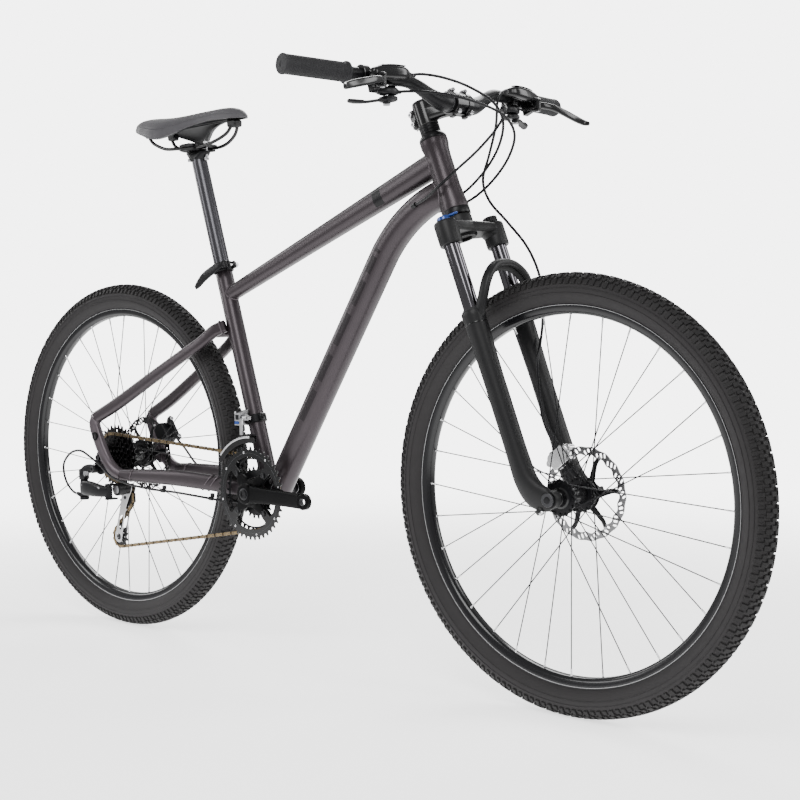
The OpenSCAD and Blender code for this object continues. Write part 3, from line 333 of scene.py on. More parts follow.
def finish(name, colour, metallic=0.0, rough=0.5, spread=0.12, scale=60.0, rough_spread=0.08, bump=0.02,
           bump_scale=900.0, coat=0.0, coat_rough=0.15, sheen=0.0, specular=0.5):
    """Principled surface whose colour, roughness and relief vary with fine noise."""
    made = bpy.data.materials.new(name)
    made.use_nodes = True
    tree = made.node_tree
    shader = tree.nodes["Principled BSDF"]
    shader.inputs["Metallic"].default_value = metallic
    shader.inputs["Coat Weight"].default_value = coat
    shader.inputs["Coat Roughness"].default_value = coat_rough
    shader.inputs["Sheen Weight"].default_value = sheen
    shader.inputs["Specular IOR Level"].default_value = specular
    place = tree.nodes.new("ShaderNodeTexCoord").outputs["Object"]
    wide = noise(tree, place, scale, 4)
    fine = noise(tree, place, bump_scale, 3)
    low = [c * (1 - spread) for c in colour]
    high = [min(1, c * (1 + spread)) for c in colour]
    colours = mix(tree, wide, low, high)
    tree.links.new(colours, shader.inputs["Base Color"])
    span = tree.nodes.new("ShaderNodeMapRange")
    span.inputs["To Min"].default_value = max(0.03, rough - rough_spread)
    span.inputs["To Max"].default_value = min(1.0, rough + rough_spread)
    tree.links.new(fine, span.inputs["Value"])
    tree.links.new(span.outputs["Result"], shader.inputs["Roughness"])
    relief = tree.nodes.new("ShaderNodeBump")
    relief.inputs["Strength"].default_value = min(1.0, bump * 10)
    relief.inputs["Distance"].default_value = bump * MM * 10
    tree.links.new(fine, relief.inputs["Height"])
    tree.links.new(relief.outputs["Normal"], shader.inputs["Normal"])
    FINISH[name] = made
    return made, tree, shader, place, colours


def noise(tree, place, scale, detail):
    """Output of a noise texture."""
    node = tree.nodes.new("ShaderNodeTexNoise")
    node.inputs["Scale"].default_value = scale
    node.inputs["Detail"].default_value = detail
    tree.links.new(place, node.inputs["Vector"])
    return node.outputs["Fac"]


def mix(tree, factor, low, high):
    """Colour between low and high; either may be a colour or another node's output."""
    node = tree.nodes.new("ShaderNodeMix")
    node.data_type = "RGBA"
    tree.links.new(factor, node.inputs["Factor"])
    for value, socket in ((low, node.inputs[6]), (high, node.inputs[7])):
        if isinstance(value, (list, tuple)):
            socket.default_value = (*value, 1)
        else:
            tree.links.new(value, socket)
    return node.outputs[2]


def make_finishes():
    finish("frame_paint", (0.036, 0.029, 0.033), 0.55, 0.36, 0.10, 35, 0.05, 0.004, 2600, coat=0.12,
           coat_rough=0.28, specular=0.3)
    finish("frame_light", (0.075, 0.062, 0.070), 0.55, 0.36, 0.08, 35, 0.05, 0.004, 2600, coat=0.12,
           coat_rough=0.28, specular=0.3)
    finish("weld", (0.085, 0.072, 0.080), 0.55, 0.40, 0.15, 400, 0.06, 0.01, 1500, specular=0.3)
    finish("graphic", (0.004, 0.004, 0.005), 0.0, 0.36, 0.1, 60, 0.04, 0.003, 1800, specular=0.2)
    finish("graphic_tonal", (0.016, 0.013, 0.015), 0.3, 0.36, 0.1, 60, 0.04, 0.003, 1800, specular=0.25)
    finish("black_alloy", (0.006, 0.006, 0.007), 0.2, 0.34, 0.15, 80, 0.07, 0.006, 1600, specular=0.22)
    finish("matte_black", (0.006, 0.006, 0.0065), 0.0, 0.46, 0.15, 50, 0.06, 0.006, 2200, specular=0.24)
    finish("satin_black", (0.0020, 0.0020, 0.0023), 0.0, 0.44, 0.12, 60, 0.05, 0.003, 1800, specular=0.05)
    finish("gloss_black", (0.0035, 0.0035, 0.004), 0.0, 0.20, 0.1, 60, 0.04, 0.002, 1500, coat=0.12,
           coat_rough=0.10, specular=0.3)
    finish("rim_black", (0.004, 0.004, 0.005), 0.1, 0.22, 0.1, 60, 0.05, 0.002, 1500, coat=0.2,
           coat_rough=0.10, specular=0.3)
    finish("steel", (0.50, 0.50, 0.51), 1.0, 0.30, 0.08, 140, 0.10, 0.004, 900)
    finish("bright_alloy", (0.62, 0.62, 0.63), 1.0, 0.24, 0.06, 120, 0.08, 0.004, 1200)
    finish("dark_steel", (0.055, 0.055, 0.058), 1.0, 0.34, 0.12, 160, 0.10, 0.004, 900)
    finish("rotor_steel", (0.20, 0.20, 0.205), 1.0, 0.32, 0.08, 140, 0.10, 0.004, 900)
    finish("post_grey", (0.055, 0.054, 0.060), 0.75, 0.27, 0.08, 80, 0.05, 0.004, 2200, specular=0.3)
    finish("cog_steel", (0.035, 0.034, 0.035), 1.0, 0.32, 0.15, 200, 0.10, 0.004, 900)
    finish("spoke_steel", (0.010, 0.010, 0.011), 0.7, 0.40, 0.1, 200, 0.08, 0.002, 900, specular=0.2)
    finish("stanchion", (0.10, 0.096, 0.105), 1.0, 0.10, 0.05, 90, 0.03, 0.001, 3000)
    finish("bronze", (0.190, 0.140, 0.078), 1.0, 0.34, 0.35, 300, 0.12, 0.006, 900)
    finish("bronze_dark", (0.050, 0.036, 0.020), 1.0, 0.38, 0.35, 300, 0.12, 0.006, 900)
    finish("tyre_side", (0.0135, 0.0122, 0.0128), 0.0, 0.62, 0.16, 45, 0.08, 0.03, 700, specular=0.28)
    finish("tyre_tread", (0.0090, 0.0083, 0.0086), 0.0, 0.66, 0.22, 90, 0.08, 0.05, 800, specular=0.25)
    finish("rubber", (0.014, 0.014, 0.0155), 0.0, 0.64, 0.15, 90, 0.08, 0.04, 1400, specular=0.3)
    finish("cable", (0.004, 0.004, 0.005), 0.0, 0.32, 0.1, 90, 0.05, 0.002, 1500, specular=0.25)
    finish("saddle_skin", (0.043, 0.041, 0.046), 0.0, 0.50, 0.12, 70, 0.08, 0.05, 1700,
           sheen=0.12, specular=0.4)
    finish("plastic", (0.005, 0.005, 0.006), 0.0, 0.40, 0.12, 60, 0.06, 0.01, 1500, specular=0.25)
    finish("grey_panel", (0.26, 0.26, 0.27), 0.6, 0.35, 0.08, 90, 0.06, 0.004, 1200)
    finish("blue", (0.010, 0.045, 0.22), 0.3, 0.30, 0.08, 90, 0.05, 0.003, 1200, coat=0.3)
    # Silver for the painted highlight along the rims' bead edges, standing in for the glossy rim's
    # reflection
    finish("decal", (0.45, 0.45, 0.46), 0.3, 0.38, 0.08, 90, 0.05, 0.003, 1200)


make_finishes()


# ---------- Pieces ----------
def piece(name, body, shapes, replaces=(), angle=38):
    """One object from shapes, riding on a CAD body and standing for its nodes."""
    shape = joined(shapes)
    mesh = bpy.data.meshes.new(name)
    mesh.from_pydata((shape.points * MM).tolist(), [], shape.faces)
    names = sorted(set(shape.finish))
    for n in names:
        mesh.materials.append(FINISH[n])
    mesh.polygons.foreach_set("material_index", [names.index(f) for f in shape.finish])
    bm = bmesh.new()
    bm.from_mesh(mesh)
    bmesh.ops.dissolve_degenerate(bm, dist=1e-8, edges=bm.edges[:])
    bmesh.ops.recalc_face_normals(bm, faces=bm.faces[:])
    bm.to_mesh(mesh)
    bm.free()
    mesh.polygons.foreach_set("use_smooth", [True] * len(mesh.polygons))
    mesh.set_sharp_from_angle(angle=math.radians(angle))
    mesh.update()
    made = bpy.data.objects.new(name, mesh)
    bpy.context.scene.collection.objects.link(made)
    if isinstance(body, str):
        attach(made, body)
    if replaces:
        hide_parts(*replaces)
    return made


# ---------- Local frames ----------
STEER_FOOT = joint_at("steering")
STEER_UP = joint_axis("steering")
STEER_AHEAD = np.array([STEER_UP[2], 0, -STEER_UP[0]])
SEAT_UP = joint_axis("seatpost_slide")
SEAT_AHEAD = np.array([SEAT_UP[2], 0, -SEAT_UP[0]])
BB = joint_at("crank_spin")
FRONT = joint_at("front_wheel_spin")
REAR = joint_at("rear_wheel_spin")


def on_steering(*shapes):
    """From x ahead, y left, z up the steering axis."""
    return placed(joined(shapes), STEER_FOOT, STEER_AHEAD, Y, STEER_UP)


def on_seat_tube(*shapes):
    """From x ahead, y left, z up the seat tube, with its foot at the cranks."""
    return placed(joined(shapes), BB, SEAT_AHEAD, Y, SEAT_UP)


def bead(loop, r, finish_name="weld"):
    """Weld bead along a closed loop of points, with its small ripples."""
    p = np.asarray(loop, float)
    ripple = r * (1 + 0.12 * np.sin(np.arange(len(p)) * TAU / 3))
    return sweep(np.column_stack([p, ripple, ripple]), finish_name, 8, closed=True)


SECTION = 72  # points round a tube where it is welded or painted


def section_loop(rows, at, grow=0.0, power=2.0):
    """Outline of a sweep's section at row number at, which may be a fraction."""
    fine = curve(rows, 12)
    i = int(round(at * 12))
    made = sweep([*fine[max(i - 1, 0):i + 2]], "", SECTION, 1, power=power)
    k = 1 if i > 0 else 0
    loop = made.points[k * SECTION:(k + 1) * SECTION]
    middle = loop.mean(0)
    out = loop - middle
    return middle + out * (1 + grow / np.linalg.norm(out, axis=1)[:, None])


def crossing_loop(start, end, half_w, half_h, post, post_axis, post_r):
    """Where a straight oval tube running from start to end meets a round post."""
    start, end, post = (np.asarray(v, float) for v in (start, end, post))
    t = unit(end - start)
    m = np.array([0.0, 1.0, 0.0])
    u = np.cross(t, m)
    axis = unit(post_axis)
    loop = []
    for k in range(SECTION):
        a = TAU * k / SECTION
        q = start + half_w * math.cos(a) * m + half_h * math.sin(a) * u
        w, d = q - post, t - (t @ axis) * axis
        w = w - (w @ axis) * axis
        aa, bb, cc = d @ d, 2 * w @ d, w @ w - post_r ** 2
        root = math.sqrt(max(bb * bb - 4 * aa * cc, 0))
        loop.append(q + (-bb - root) / (2 * aa) * t)
    return np.array(loop)


# ---------- Studio ----------
CAMERA_AT, CAMERA_LENS = (1.979, -2.010, 0.683), 66.5
CAMERA_YAW, CAMERA_PITCH, CAMERA_ROLL = 131.41, -3.56, -0.52


def make_camera():
    """Three-quarter view from the front right, at hip height."""
    ahead = np.array([c(CAMERA_PITCH) * c(CAMERA_YAW), c(CAMERA_PITCH) * s(CAMERA_YAW), s(CAMERA_PITCH)])
    right = unit(np.cross(ahead, Z))
    up = np.cross(right, ahead)
    right, up = (c(CAMERA_ROLL) * right + s(CAMERA_ROLL) * up, c(CAMERA_ROLL) * up - s(CAMERA_ROLL) * right)
    data = bpy.data.cameras.new("camera")
    data.lens, data.sensor_width = CAMERA_LENS, 36
    camera = bpy.data.objects.new("camera", data)
    turn = Matrix(np.column_stack([right, up, -ahead]).tolist()).to_4x4()
    camera.matrix_world = Matrix.Translation(CAMERA_AT) @ turn
    bpy.context.scene.collection.objects.link(camera)
    bpy.context.scene.camera = camera


# Strength of the even light on the bicycle, and of the plain white seen past it
ROOM_LIGHT, ROOM_WHITE = 0.55, 5.5
FLOOR_RADIUS, FLOOR_LIGHT = 3.2, 1.5
SOFTBOXES = [  # name, place, what it faces, size, power
    ("right_key", (1.6, -2.6, 3.4), (0, 0, 0.6), (1.6, 2.6), 130),
    ("right_side", (-2.6, -3.0, 1.9), (0, 0, 0.6), (1.0, 2.2), 55),
    ("front", (3.6, 0.6, 2.0), (0.3, 0, 0.6), (1.0, 2.2), 50),
    ("left_key", (-1.4, 2.8, 3.2), (0, 0, 0.6), (2.6, 1.6), 110),
    ("left_side", (2.4, 3.0, 1.9), (0, 0, 0.6), (1.0, 2.2), 45),
    ("back", (-3.6, -0.4, 2.0), (-0.3, 0, 0.6), (1.0, 2.2), 45)]


def softbox(name, at, target, size, power):
    """Rectangular soft light that faces its target."""
    data = bpy.data.lights.new(name, "AREA")
    data.shape, data.size, data.size_y, data.energy = "RECTANGLE", size[0], size[1], power
    light = bpy.data.objects.new(name, data)
    light.location = at
    light.rotation_euler = (Vector(target) - Vector(at)).to_track_quat("-Z", "Y").to_euler()
    bpy.context.scene.collection.objects.link(light)


def make_floor():
    """Plain pale round floor, the same from every side, whose rim melts into the white of the room."""
    bpy.ops.mesh.primitive_circle_add(vertices=128, radius=FLOOR_RADIUS, fill_type="NGON", location=ORIGIN)
    floor = bpy.context.object
    floor.name = "studio_floor"
    mat = bpy.data.materials.new("studio_floor")
    mat.use_nodes = True
    tree = mat.node_tree
    shader = tree.nodes["Principled BSDF"]
    shader.inputs["Base Color"].default_value = (0.93, 0.93, 0.93, 1)
    shader.inputs["Roughness"].default_value = 0.9
    shader.inputs["Specular IOR Level"].default_value = 0.0
    shader.inputs["Emission Color"].default_value = (1, 1, 1, 1)
    shader.inputs["Emission Strength"].default_value = FLOOR_LIGHT
    middle = tree.nodes.new("ShaderNodeVectorMath")
    middle.operation = "LENGTH"
    tree.links.new(tree.nodes.new("ShaderNodeTexCoord").outputs["Object"], middle.inputs[0])
    fade = tree.nodes.new("ShaderNodeMapRange")
    fade.interpolation_type = "SMOOTHERSTEP"
    fade.inputs["From Min"].default_value = 0.25 * FLOOR_RADIUS
    fade.inputs["From Max"].default_value = FLOOR_RADIUS
    fade.inputs["To Min"].default_value = 1.0
    fade.inputs["To Max"].default_value = 0.0
    tree.links.new(middle.outputs["Value"], fade.inputs["Value"])
    tree.links.new(fade.outputs["Result"], shader.inputs["Alpha"])
    floor.data.materials.append(mat)


def make_studio():
    """Even light from all round, soft boxes on every side, and a plain white room."""
    world = bpy.data.worlds.new("studio")
    world.use_nodes = True
    tree = world.node_tree
    lit, seen = tree.nodes["Background"], tree.nodes.new("ShaderNodeBackground")
    for node, strength in ((lit, ROOM_LIGHT), (seen, ROOM_WHITE)):
        node.inputs["Color"].default_value = (1, 1, 1, 1)
        node.inputs["Strength"].default_value = strength
    choice = tree.nodes.new("ShaderNodeMixShader")
    tree.links.new(tree.nodes.new("ShaderNodeLightPath").outputs["Is Camera Ray"], choice.inputs["Fac"])
    tree.links.new(lit.outputs["Background"], choice.inputs[1])
    tree.links.new(seen.outputs["Background"], choice.inputs[2])
    tree.links.new(choice.outputs["Shader"], tree.nodes["World Output"].inputs["Surface"])
    bpy.context.scene.world = world
    for row in SOFTBOXES:
        softbox(*row)
    make_floor()


make_camera()
make_studio()


# ---------- Wheels ----------
TYRE_ROUND = 342.0
CARCASS = 24.6
KNOB_TOP = 27.9
PITCHES = 90
# Knobs of one pitch: angle across the tyre, half widths across and along, offsets along on each side, top
KNOB_ROWS = [(10, 5.4, 3.9, 0.00, 0.25, KNOB_TOP), (12, 4.2, 2.6, 0.50, 0.75, KNOB_TOP),
             (33, 4.4, 4.0, 0.30, 0.05, KNOB_TOP - 0.1), (36, 3.6, 2.8, 0.80, 0.55, KNOB_TOP - 0.3),
             (57, 5.2, 3.6, 0.00, 0.25, KNOB_TOP - 0.1), (60, 4.0, 3.4, 0.50, 0.75, KNOB_TOP - 0.6)]


def on_tyre(across, around_deg, r):
    """Point on the tyre: angle across its section, angle round the wheel, radius in its section."""
    a, b = np.radians(across), np.radians(around_deg)
    reach = TYRE_ROUND + r * np.cos(a)
    return np.column_stack([reach * np.cos(b), r * np.sin(a), reach * np.sin(b)])


def knob(across, along, half_across, half_along, top):
    """Tapered tread block with a chamfered top."""
    da, db = np.degrees(half_across / CARCASS), np.degrees(half_along / (TYRE_ROUND + CARCASS))
    corner = np.array([(-1, -1), (1, -1), (1, 1), (-1, 1)])
    points = []
    for k, r in ((1.12, CARCASS - 0.5), (1.0, top - 0.6), (0.82, top)):
        points.append(on_tyre(across + k * da * corner[:, 0], along + k * db * corner[:, 1], r))
    faces = grid_faces(3, 4, False) + [(8, 9, 10, 11)]
    return Shape(np.vstack(points), faces, "tyre_tread")


def tyre():
    """Carcass with raised lines on its sides and a pattern of knobs."""
    outline = [(TYRE_ROUND + CARCASS * c(a), CARCASS * s(a)) for a in range(-120, 121, 6)]
    bead_side = [(320.5, 15.5), (318.6, 12.4), (313, 10.6), (312.5, 8.4), (318, 8.2)]
    inner = [(TYRE_ROUND + 20.5 * c(a), 20.5 * s(a)) for a in range(118, -119, -12)]
    profile = outline + bead_side + inner + [(r, -y) for r, y in bead_side[::-1]]
    parts = [revolve(profile, "tyre_side", n=240, closed=True)]
    for side in (-1, 1):
        for r, y in ((CARCASS + 0.35, 104), (CARCASS + 0.45, 84)):
            parts.append(wire_ring(TYRE_ROUND + r * c(side * y), r * s(side * y), 0.6, "tyre_side"))
    step = 360 / PITCHES
    for k in range(PITCHES):
        for across, half_across, half_along, offset, mirrored, top in KNOB_ROWS:
            parts.append(knob(across, (k + offset) * step, half_across, half_along, top))
            parts.append(knob(-across, (k + mirrored) * step, half_across, half_along, top))
    return joined(parts)


def wire_ring(radius, y, r, name):
    """Thin round ring in a wheel's plane."""
    a = np.arange(6) * TAU / 6
    return revolve([(radius + r * math.cos(t), y + r * math.sin(t)) for t in a], name, n=240, closed=True)


RIM_IN = 301.0


def rim():
    """Deep double-walled section with hooked flanges, and a thin silver ring on each flange's edge as a
    painted highlight.
    """
    half = [(RIM_IN, 0), (RIM_IN, 5.2), (RIM_IN + 1.2, 7.6), (RIM_IN + 4.4, 10.4), (RIM_IN + 6.5, 11.4),
            (316.6, 12.5), (317.8, 12.5), (318.2, 11.9), (317.6, 10.9), (312.2, 10.7), (311.2, 8.6),
            (308.2, 5.2), (308.0, 0)]
    profile = half + [(r, -y) for r, y in half[-2:0:-1]]
    parts = [revolve(profile, "rim_black", n=240, closed=True)]
    # Thin silver rings at the bead edge are a painted highlight, standing in for the glossy rim's
    # reflection
    return joined(parts + [wire_ring(316.2, side * 12.45, 0.35, "decal") for side in (-1, 1)])


SPOKES, HOLES_R, SPOKE_BESIDE = 32, 26, 3.4


def spoke_line(i, right_y, left_y):
    """Ends of one spoke: every other one goes to each flange, crossing three more."""
    rim_a = 360 / SPOKES * i
    sense = 1 if i // 2 % 2 == 0 else -1
    y = right_y - sense * SPOKE_BESIDE if i % 2 == 0 else left_y + sense * SPOKE_BESIDE
    return (np.array(wheel_point(HOLES_R, rim_a + sense * 3 * 720 / SPOKES, y)),
            np.array(wheel_point(RIM_IN, rim_a, math.copysign(3, y))))


def spokes(right_y, left_y):
    """Bent spokes with their heads and nipples."""
    parts = []
    for i in range(SPOKES):
        hub, rim_end = spoke_line(i, right_y, left_y)
        along = unit(rim_end - hub)
        nipple = rim_end - 13 * along
        parts.append(revolve([(1.0, 0), (1.0, np.linalg.norm(nipple - hub) + 1)], "spoke_steel",
                             hub, along, 8))
        flange = right_y if i % 2 == 0 else left_y
        out = math.copysign(1, hub[1] - flange)
        parts.append(sweep([[*(hub - 0.4 * along), 1, 1], [hub[0], flange + out * 2.1, hub[2], 1, 1],
                            [hub[0], flange - out * 2.0, hub[2], 1, 1]], "spoke_steel", 8, 4))
        parts.append(revolve([(0.8, 0), (2.0, 0.5), (1.6, 1.5), (0.3, 1.9)], "spoke_steel",
                             [hub[0], flange - out * 1.6, hub[2]], [0, -out, 0], 10))
        parts.append(revolve([(1.3, 0), (1.55, 0.8), (1.55, 11.5), (2.3, 12.4), (2.3, 13.4)],
                             "bright_alloy", nipple, along, 10))
    return joined(parts)


def hub_flange(y):
    """Flange with a scalloped edge and a hole for each of its spokes."""
    loop = [polar(30.0 + 1.2 * c(16 * a), a) for a in np.linspace(0, 360, 192, endpoint=False)]
    holes = [circle(polar(HOLES_R, 22.5 * k), 1.25, 10) for k in range(SPOKES // 2)]
    return plate([loop, circle((0, 0), 12, 48)] + holes, y - 1.5, y + 1.5, "black_alloy", 0.3)


def hub(end_right, right, left, end_left, rotor_y, barrel):
    """Turned shell with two flanges and the rotor's seat."""
    profile = [(5.2, end_right), (11, end_right), (13, end_right + 1.5), (13.2, end_right + 6),
               (barrel, right - 3), (barrel + 3, right - 1.5), (barrel + 3, right + 1.5),
               (barrel - 1, right + 8), (barrel - 2, (right + left) / 2), (barrel - 1, left - 8),
               (barrel + 3, left - 1.5), (barrel + 3, left + 1.5), (barrel, left + 4),
               (barrel, rotor_y - 7), (25, rotor_y - 5), (26, rotor_y - 4), (26, rotor_y - 1),
               (17.2, rotor_y - 1), (17.2, rotor_y + 2.5), (13.2, end_left - 3), (12.4, end_left),
               (5.2, end_left)]
    return joined([revolve(profile, "gloss_black", n=72, closed=True), hub_flange(right), hub_flange(left)])


FRONT_ROTOR_Y, REAR_ROTOR_Y = 39.5, 52.0
FRONT_CALIPER_ANGLE, REAR_CALIPER_ANGLE = 128, 35
# Rows along a rotor's arm: radius, angle ahead of its foot, half width, half thickness
ROTOR_ARM = [(24, 0, 6.4, 1.3), (40, 7, 5.0, 1.2), (56, 9, 4.2, 1.1), (67.5, 6, 3.6, 0.85)]


def rotor(y, track_finish):
    """Wavy slotted track on a six-arm dark carrier."""
    a = np.linspace(0, TAU, 288, endpoint=False)

    def wavy(r, wave):
        reach = r + wave * np.cos(18 * a)
        return np.column_stack([reach * np.cos(a), reach * np.sin(a)])

    holes = []
    for k in range(18):
        for r, off, size in ((75.6, 0.0, 1.7), (72.2, 5.0, 2.2), (69.0, 10.5, 1.9)):
            holes.append(slot_loop(polar(r, 20 * k + off), 20 * k + off + 35, size, 2.2))
    track = plate([wavy(79.2, 0.75), wavy(65.4, 1.5)] + holes, y - 0.9, y + 0.9, track_finish, 0.15)
    arms = []
    for k in range(6):
        base = 60 * k
        arms.append(sweep([[*wheel_point(r, base + ahead, y), w, h] for r, ahead, w, h in ROTOR_ARM],
                          "black_alloy", 12, 5, side=(-s(base), 0, c(base)), power=4))
        arms.append(rod(wheel_point(67.6, base + 6, y - 1.3), wheel_point(67.6, base + 6, y + 1.3),
                        2.8, "steel", 16))
    windows = [circle(polar(22, 60 * k), 2.6, 14) for k in range(6)]
    middle = plate([circle((0, 0), 28.2, 72), circle((0, 0), 17.6, 48)] + windows, y - 1.2, y + 1.2,
                   "black_alloy", 0.3)
    bolts = [bolt(wheel_point(22, 60 * k, y + 1.1), Y, 4.1, 2.2, "dark_steel") for k in range(6)]
    return joined([track, middle] + arms + bolts)


def slot_loop(centre, direction, r, half_length):
    """Outline of a slot with round ends."""
    d = np.array([c(direction), s(direction)])
    m = np.array(centre)
    return np.vstack([arc(m + half_length * d, r, direction - 90, direction + 90, 7),
                      arc(m - half_length * d, r, direction + 90, direction + 270, 7)])


def make_wheel(name, at, flange_right, flange_left, end_right, end_left, rotor_y, barrel, track):
    """Five pieces of one wheel, each standing for the CAD node of the same place."""
    shell = hub(end_right, flange_right, flange_left, end_left, rotor_y, barrel)
    parts = [("tyre_knobbly", "tyre_rubber", tyre(), "tyre", 30),
             ("rim_double_wall", "black_alloy", rim(), "rim", 38),
             ("spokes_and_nipples", "dark_steel", spokes(flange_right, flange_left), "spokes", 38),
             ("hub_shell", "black_alloy", shell, "hub", 38),
             ("rotor_wavy", "bright_steel", rotor(rotor_y, track), "rotor", 38)]
    for part, slot, shape, node, angle in parts:
        piece(f"{name}_{part}", f"{name}_wheel", [placed(shape, at)], [f"{name}_{node}"], angle)


make_wheel("front", FRONT, flange_right=-33, flange_left=22, end_right=-46, end_left=46,
           rotor_y=FRONT_ROTOR_Y, barrel=15, track="rotor_steel")
make_wheel("rear", REAR, flange_right=-20, flange_left=34, end_right=-25, end_left=61, rotor_y=REAR_ROTOR_Y,
           barrel=17, track="cog_steel")


# ---------- Frame ----------
TUBE_FOOT = np.array([-121.0, 0, 318])
BEND_AT = np.array([168.0, 0, 772])
BEND_R, BEND_TURN, DOWN_ANGLE = 270.0, 38.0, 57.5
DOWN_R = 25.5
SEAT_R = 17.45
STAY_Y = 77.0
CHAIN_STAY = [[-508, -STAY_Y, 338, 9, 12], [-440, -71, 340, 9.5, 14], [-350, -60, 340.5, 9, 16],
              [-270, -46, 336, 8, 16], [-222, -36, 331, 7.5, 15], [-186, -30, 328, 8, 14],
              [-140, -24, 326, 9, 13]]
SEAT_STAY = [[-590, -STAY_Y, 456, 9, 12.5], [-520, -72, 489, 9, 13], [-420, -62, 544, 9, 12.5],
             [-330, -50, 594, 8.5, 12], [-288, -41, 619, 8.5, 12], [-262, -31, 640, 8.5, 12.5],
             [-240.5, -19.5, 650.4, 7.6, 12.6]]
ELBOW = [[-590.5, -STAY_Y, 455.5, 9, 12.5], [-597, -STAY_Y, 441, 9, 13.5], [-588, -STAY_Y, 418, 9, 14],
         [-573, -STAY_Y, 390, 9, 13.5], [-553, -STAY_Y, 362, 9, 13.5], [-531, -STAY_Y, 345, 9, 13],
         [-508.5, -STAY_Y, 338, 9, 12]]


def down_rows():
    """Rows of the down tube: straight, then bent up, then tapered into the head tube."""
    centre = BEND_AT + BEND_R * np.array([s(DOWN_ANGLE), 0, -c(DOWN_ANGLE)])
    straight = [TUBE_FOOT + (BEND_AT - TUBE_FOOT) * t for t in (0, 0.1, 0.3, 0.55, 0.8)]
    angles = np.linspace(DOWN_ANGLE, DOWN_ANGLE - BEND_TURN, 8)
    bend = [centre + BEND_R * np.array([-s(a), 0, c(a)]) for a in angles]
    rows = []
    for k, p in enumerate(straight + bend):
        slim = 1 - 0.03 * math.sin(math.pi * min(k, 5) / 5)
        rows.append([*p, DOWN_R * slim, DOWN_R])
    last = DOWN_ANGLE - BEND_TURN
    rows[-1][3] = 22.6
    rows.append([*(bend[-1] + 15 * np.array([c(last), 0, s(last)])), 19.0, 24.0])
    return rows


def head_tube():
    """Tapered shell with flared, stepped ends."""
    low, high = 538.0, 671.0
    profile = [(18, low), (24.2, low), (25, low + 1), (25, low + 9), (24.4, low + 12), (23, low + 26),
               (22, low + 45), (22, high - 34), (22.8, high - 20), (24.4, high - 12), (25, high - 9),
               (25, high - 1), (24.2, high), (18, high)]
    return on_steering(revolve(profile, "frame_paint", axis=Z, n=96, closed=True))


def graphic_patch(rows, start, end, a0, a1, power=2.0, slant=0.0, name="graphic"):
    """Thin painted patch on a sweep, between row numbers start and end and section angles a0 and a1."""
    loops = np.array([section_loop(rows, k, 0.25, power) for k in np.linspace(start, end, 14)])
    columns = [int(round(a / 360 * SECTION)) for a in np.linspace(a0, a1, 9)]
    points = []
    for j, col in enumerate(columns):
        shift = slant * j / (len(columns) - 1)
        for i in range(len(loops)):
            u = min(max(i + shift * (len(loops) - 1), 0), len(loops) - 1)
            lo = int(u)
            hi = min(lo + 1, len(loops) - 1)
            points.append(loops[lo][col % SECTION] * (1 - u + lo) + loops[hi][col % SECTION] * (u - lo))
    m = len(loops)
    faces = [(j * m + i, j * m + i + 1, (j + 1) * m + i + 1, (j + 1) * m + i)
             for j in range(len(columns) - 1) for i in range(m - 1)]
    return Shape(points, faces, name)


TOP_ROWS = [[-240, 0, 715.3, 15, 15], [-150, 0, 752.4, 15.5, 16.2], [0, 0, 814.1, 17, 18],
            [150, 0, 875.7, 19, 20.2], [252, 0, 917.7, 21, 21.8], [306, 0, 939.9, 22, 22.5]]


def make_frame():
    """The tubes, each as its own piece."""
    down = down_rows()
    piece("head_tube_shell", "frame", [head_tube()], ["head_tube"])
    top = [sweep(TOP_ROWS, "frame_paint", 48, 8, power=2.3)]
    top.append(graphic_patch(TOP_ROWS, 3.05, 3.22, 128, 232, 2.3, slant=0.25))
    piece("top_tube_shell", "frame", top, ["top_tube"])
    band = [graphic_patch(down, 2.2 + 0.62 * k, 2.2 + 0.62 * k + 0.44, 148, 196, name="graphic_tonal")
            for k in range(6)]
    piece("down_tube_shell", "frame", [sweep(down, "frame_paint", 64, 8, power=2.15)] + band,
          ["down_tube"])
    seat = [on_seat_tube(revolve([(SEAT_R - 1.2, 0), (SEAT_R, 0), (SEAT_R, 469), (SEAT_R - 0.6, 470),
                                  (15.9, 470), (15.9, 60)], "frame_paint", axis=Z, n=64, closed=True))]
    seat.append(ring(BB + [0, -36.5, 0], BB + [0, 36.5, 0], 17.2, 20.6, "frame_paint", 72, 1.2))
    piece("seat_tube_and_shell", "frame", seat, ["seat_tube"])
    chain = both(sweep(CHAIN_STAY, "frame_paint", 32, 8, power=2.8))
    bridge = rod([-198, -24, 329], [-198, 24, 329], 8, "frame_paint", 32)
    piece("chain_stays_formed", "frame", [chain, bridge], ["chain_stays"])
    stays = both(sweep(SEAT_STAY, "frame_paint", 32, 8, power=2.8))
    piece("seat_stays_formed", "frame",
          [stays, rod([-270, -32, 634], [-270, 32, 634], 7, "frame_paint", 32)], ["seat_stays"])
    make_dropouts()
    make_welds(down)


def make_dropouts():
    """Inner plates, elbows, axle screw and hanger."""
    outline = [(-12, -14), (-14, 4), (-8, 14), (4, 22), (14, 20), (24, 8), (32, -8), (24, -22), (10, -15)]
    inner = placed(plate([smooth_loop(outline), circle((0, 0), 5.4, 24)], -74.5, -67.6, "frame_light", 0.6),
                   REAR)
    elbow = sweep(ELBOW, "frame_light", 36, 8, power=2.6)
    screw = joined([ring([-586, -87.2, 416], [-586, -84, 416], 6.4, 9.0, "satin_black", 32, 0.5),
                    bolt([-586, -85.4, 416], [0, -1, 0], 6.6, 1.6, "black_alloy")])
    hanger = [(-14, -30), (-15, -12), (-8, -5), (6, -13), (14, -12), (22, -20), (12, -34), (-2, -36)]
    hanger_shape = placed(plate([smooth_loop(hanger), circle((-6, -24), 5, 20)], -78, -74.6,
                                "black_alloy", 0.5), REAR)
    piece("dropouts_and_hanger", "frame",
          [both(inner, elbow), screw, hanger_shape], ["dropouts"])


STAY_WELD = 0.55  # place of the rear weld along the rows of the chain stay


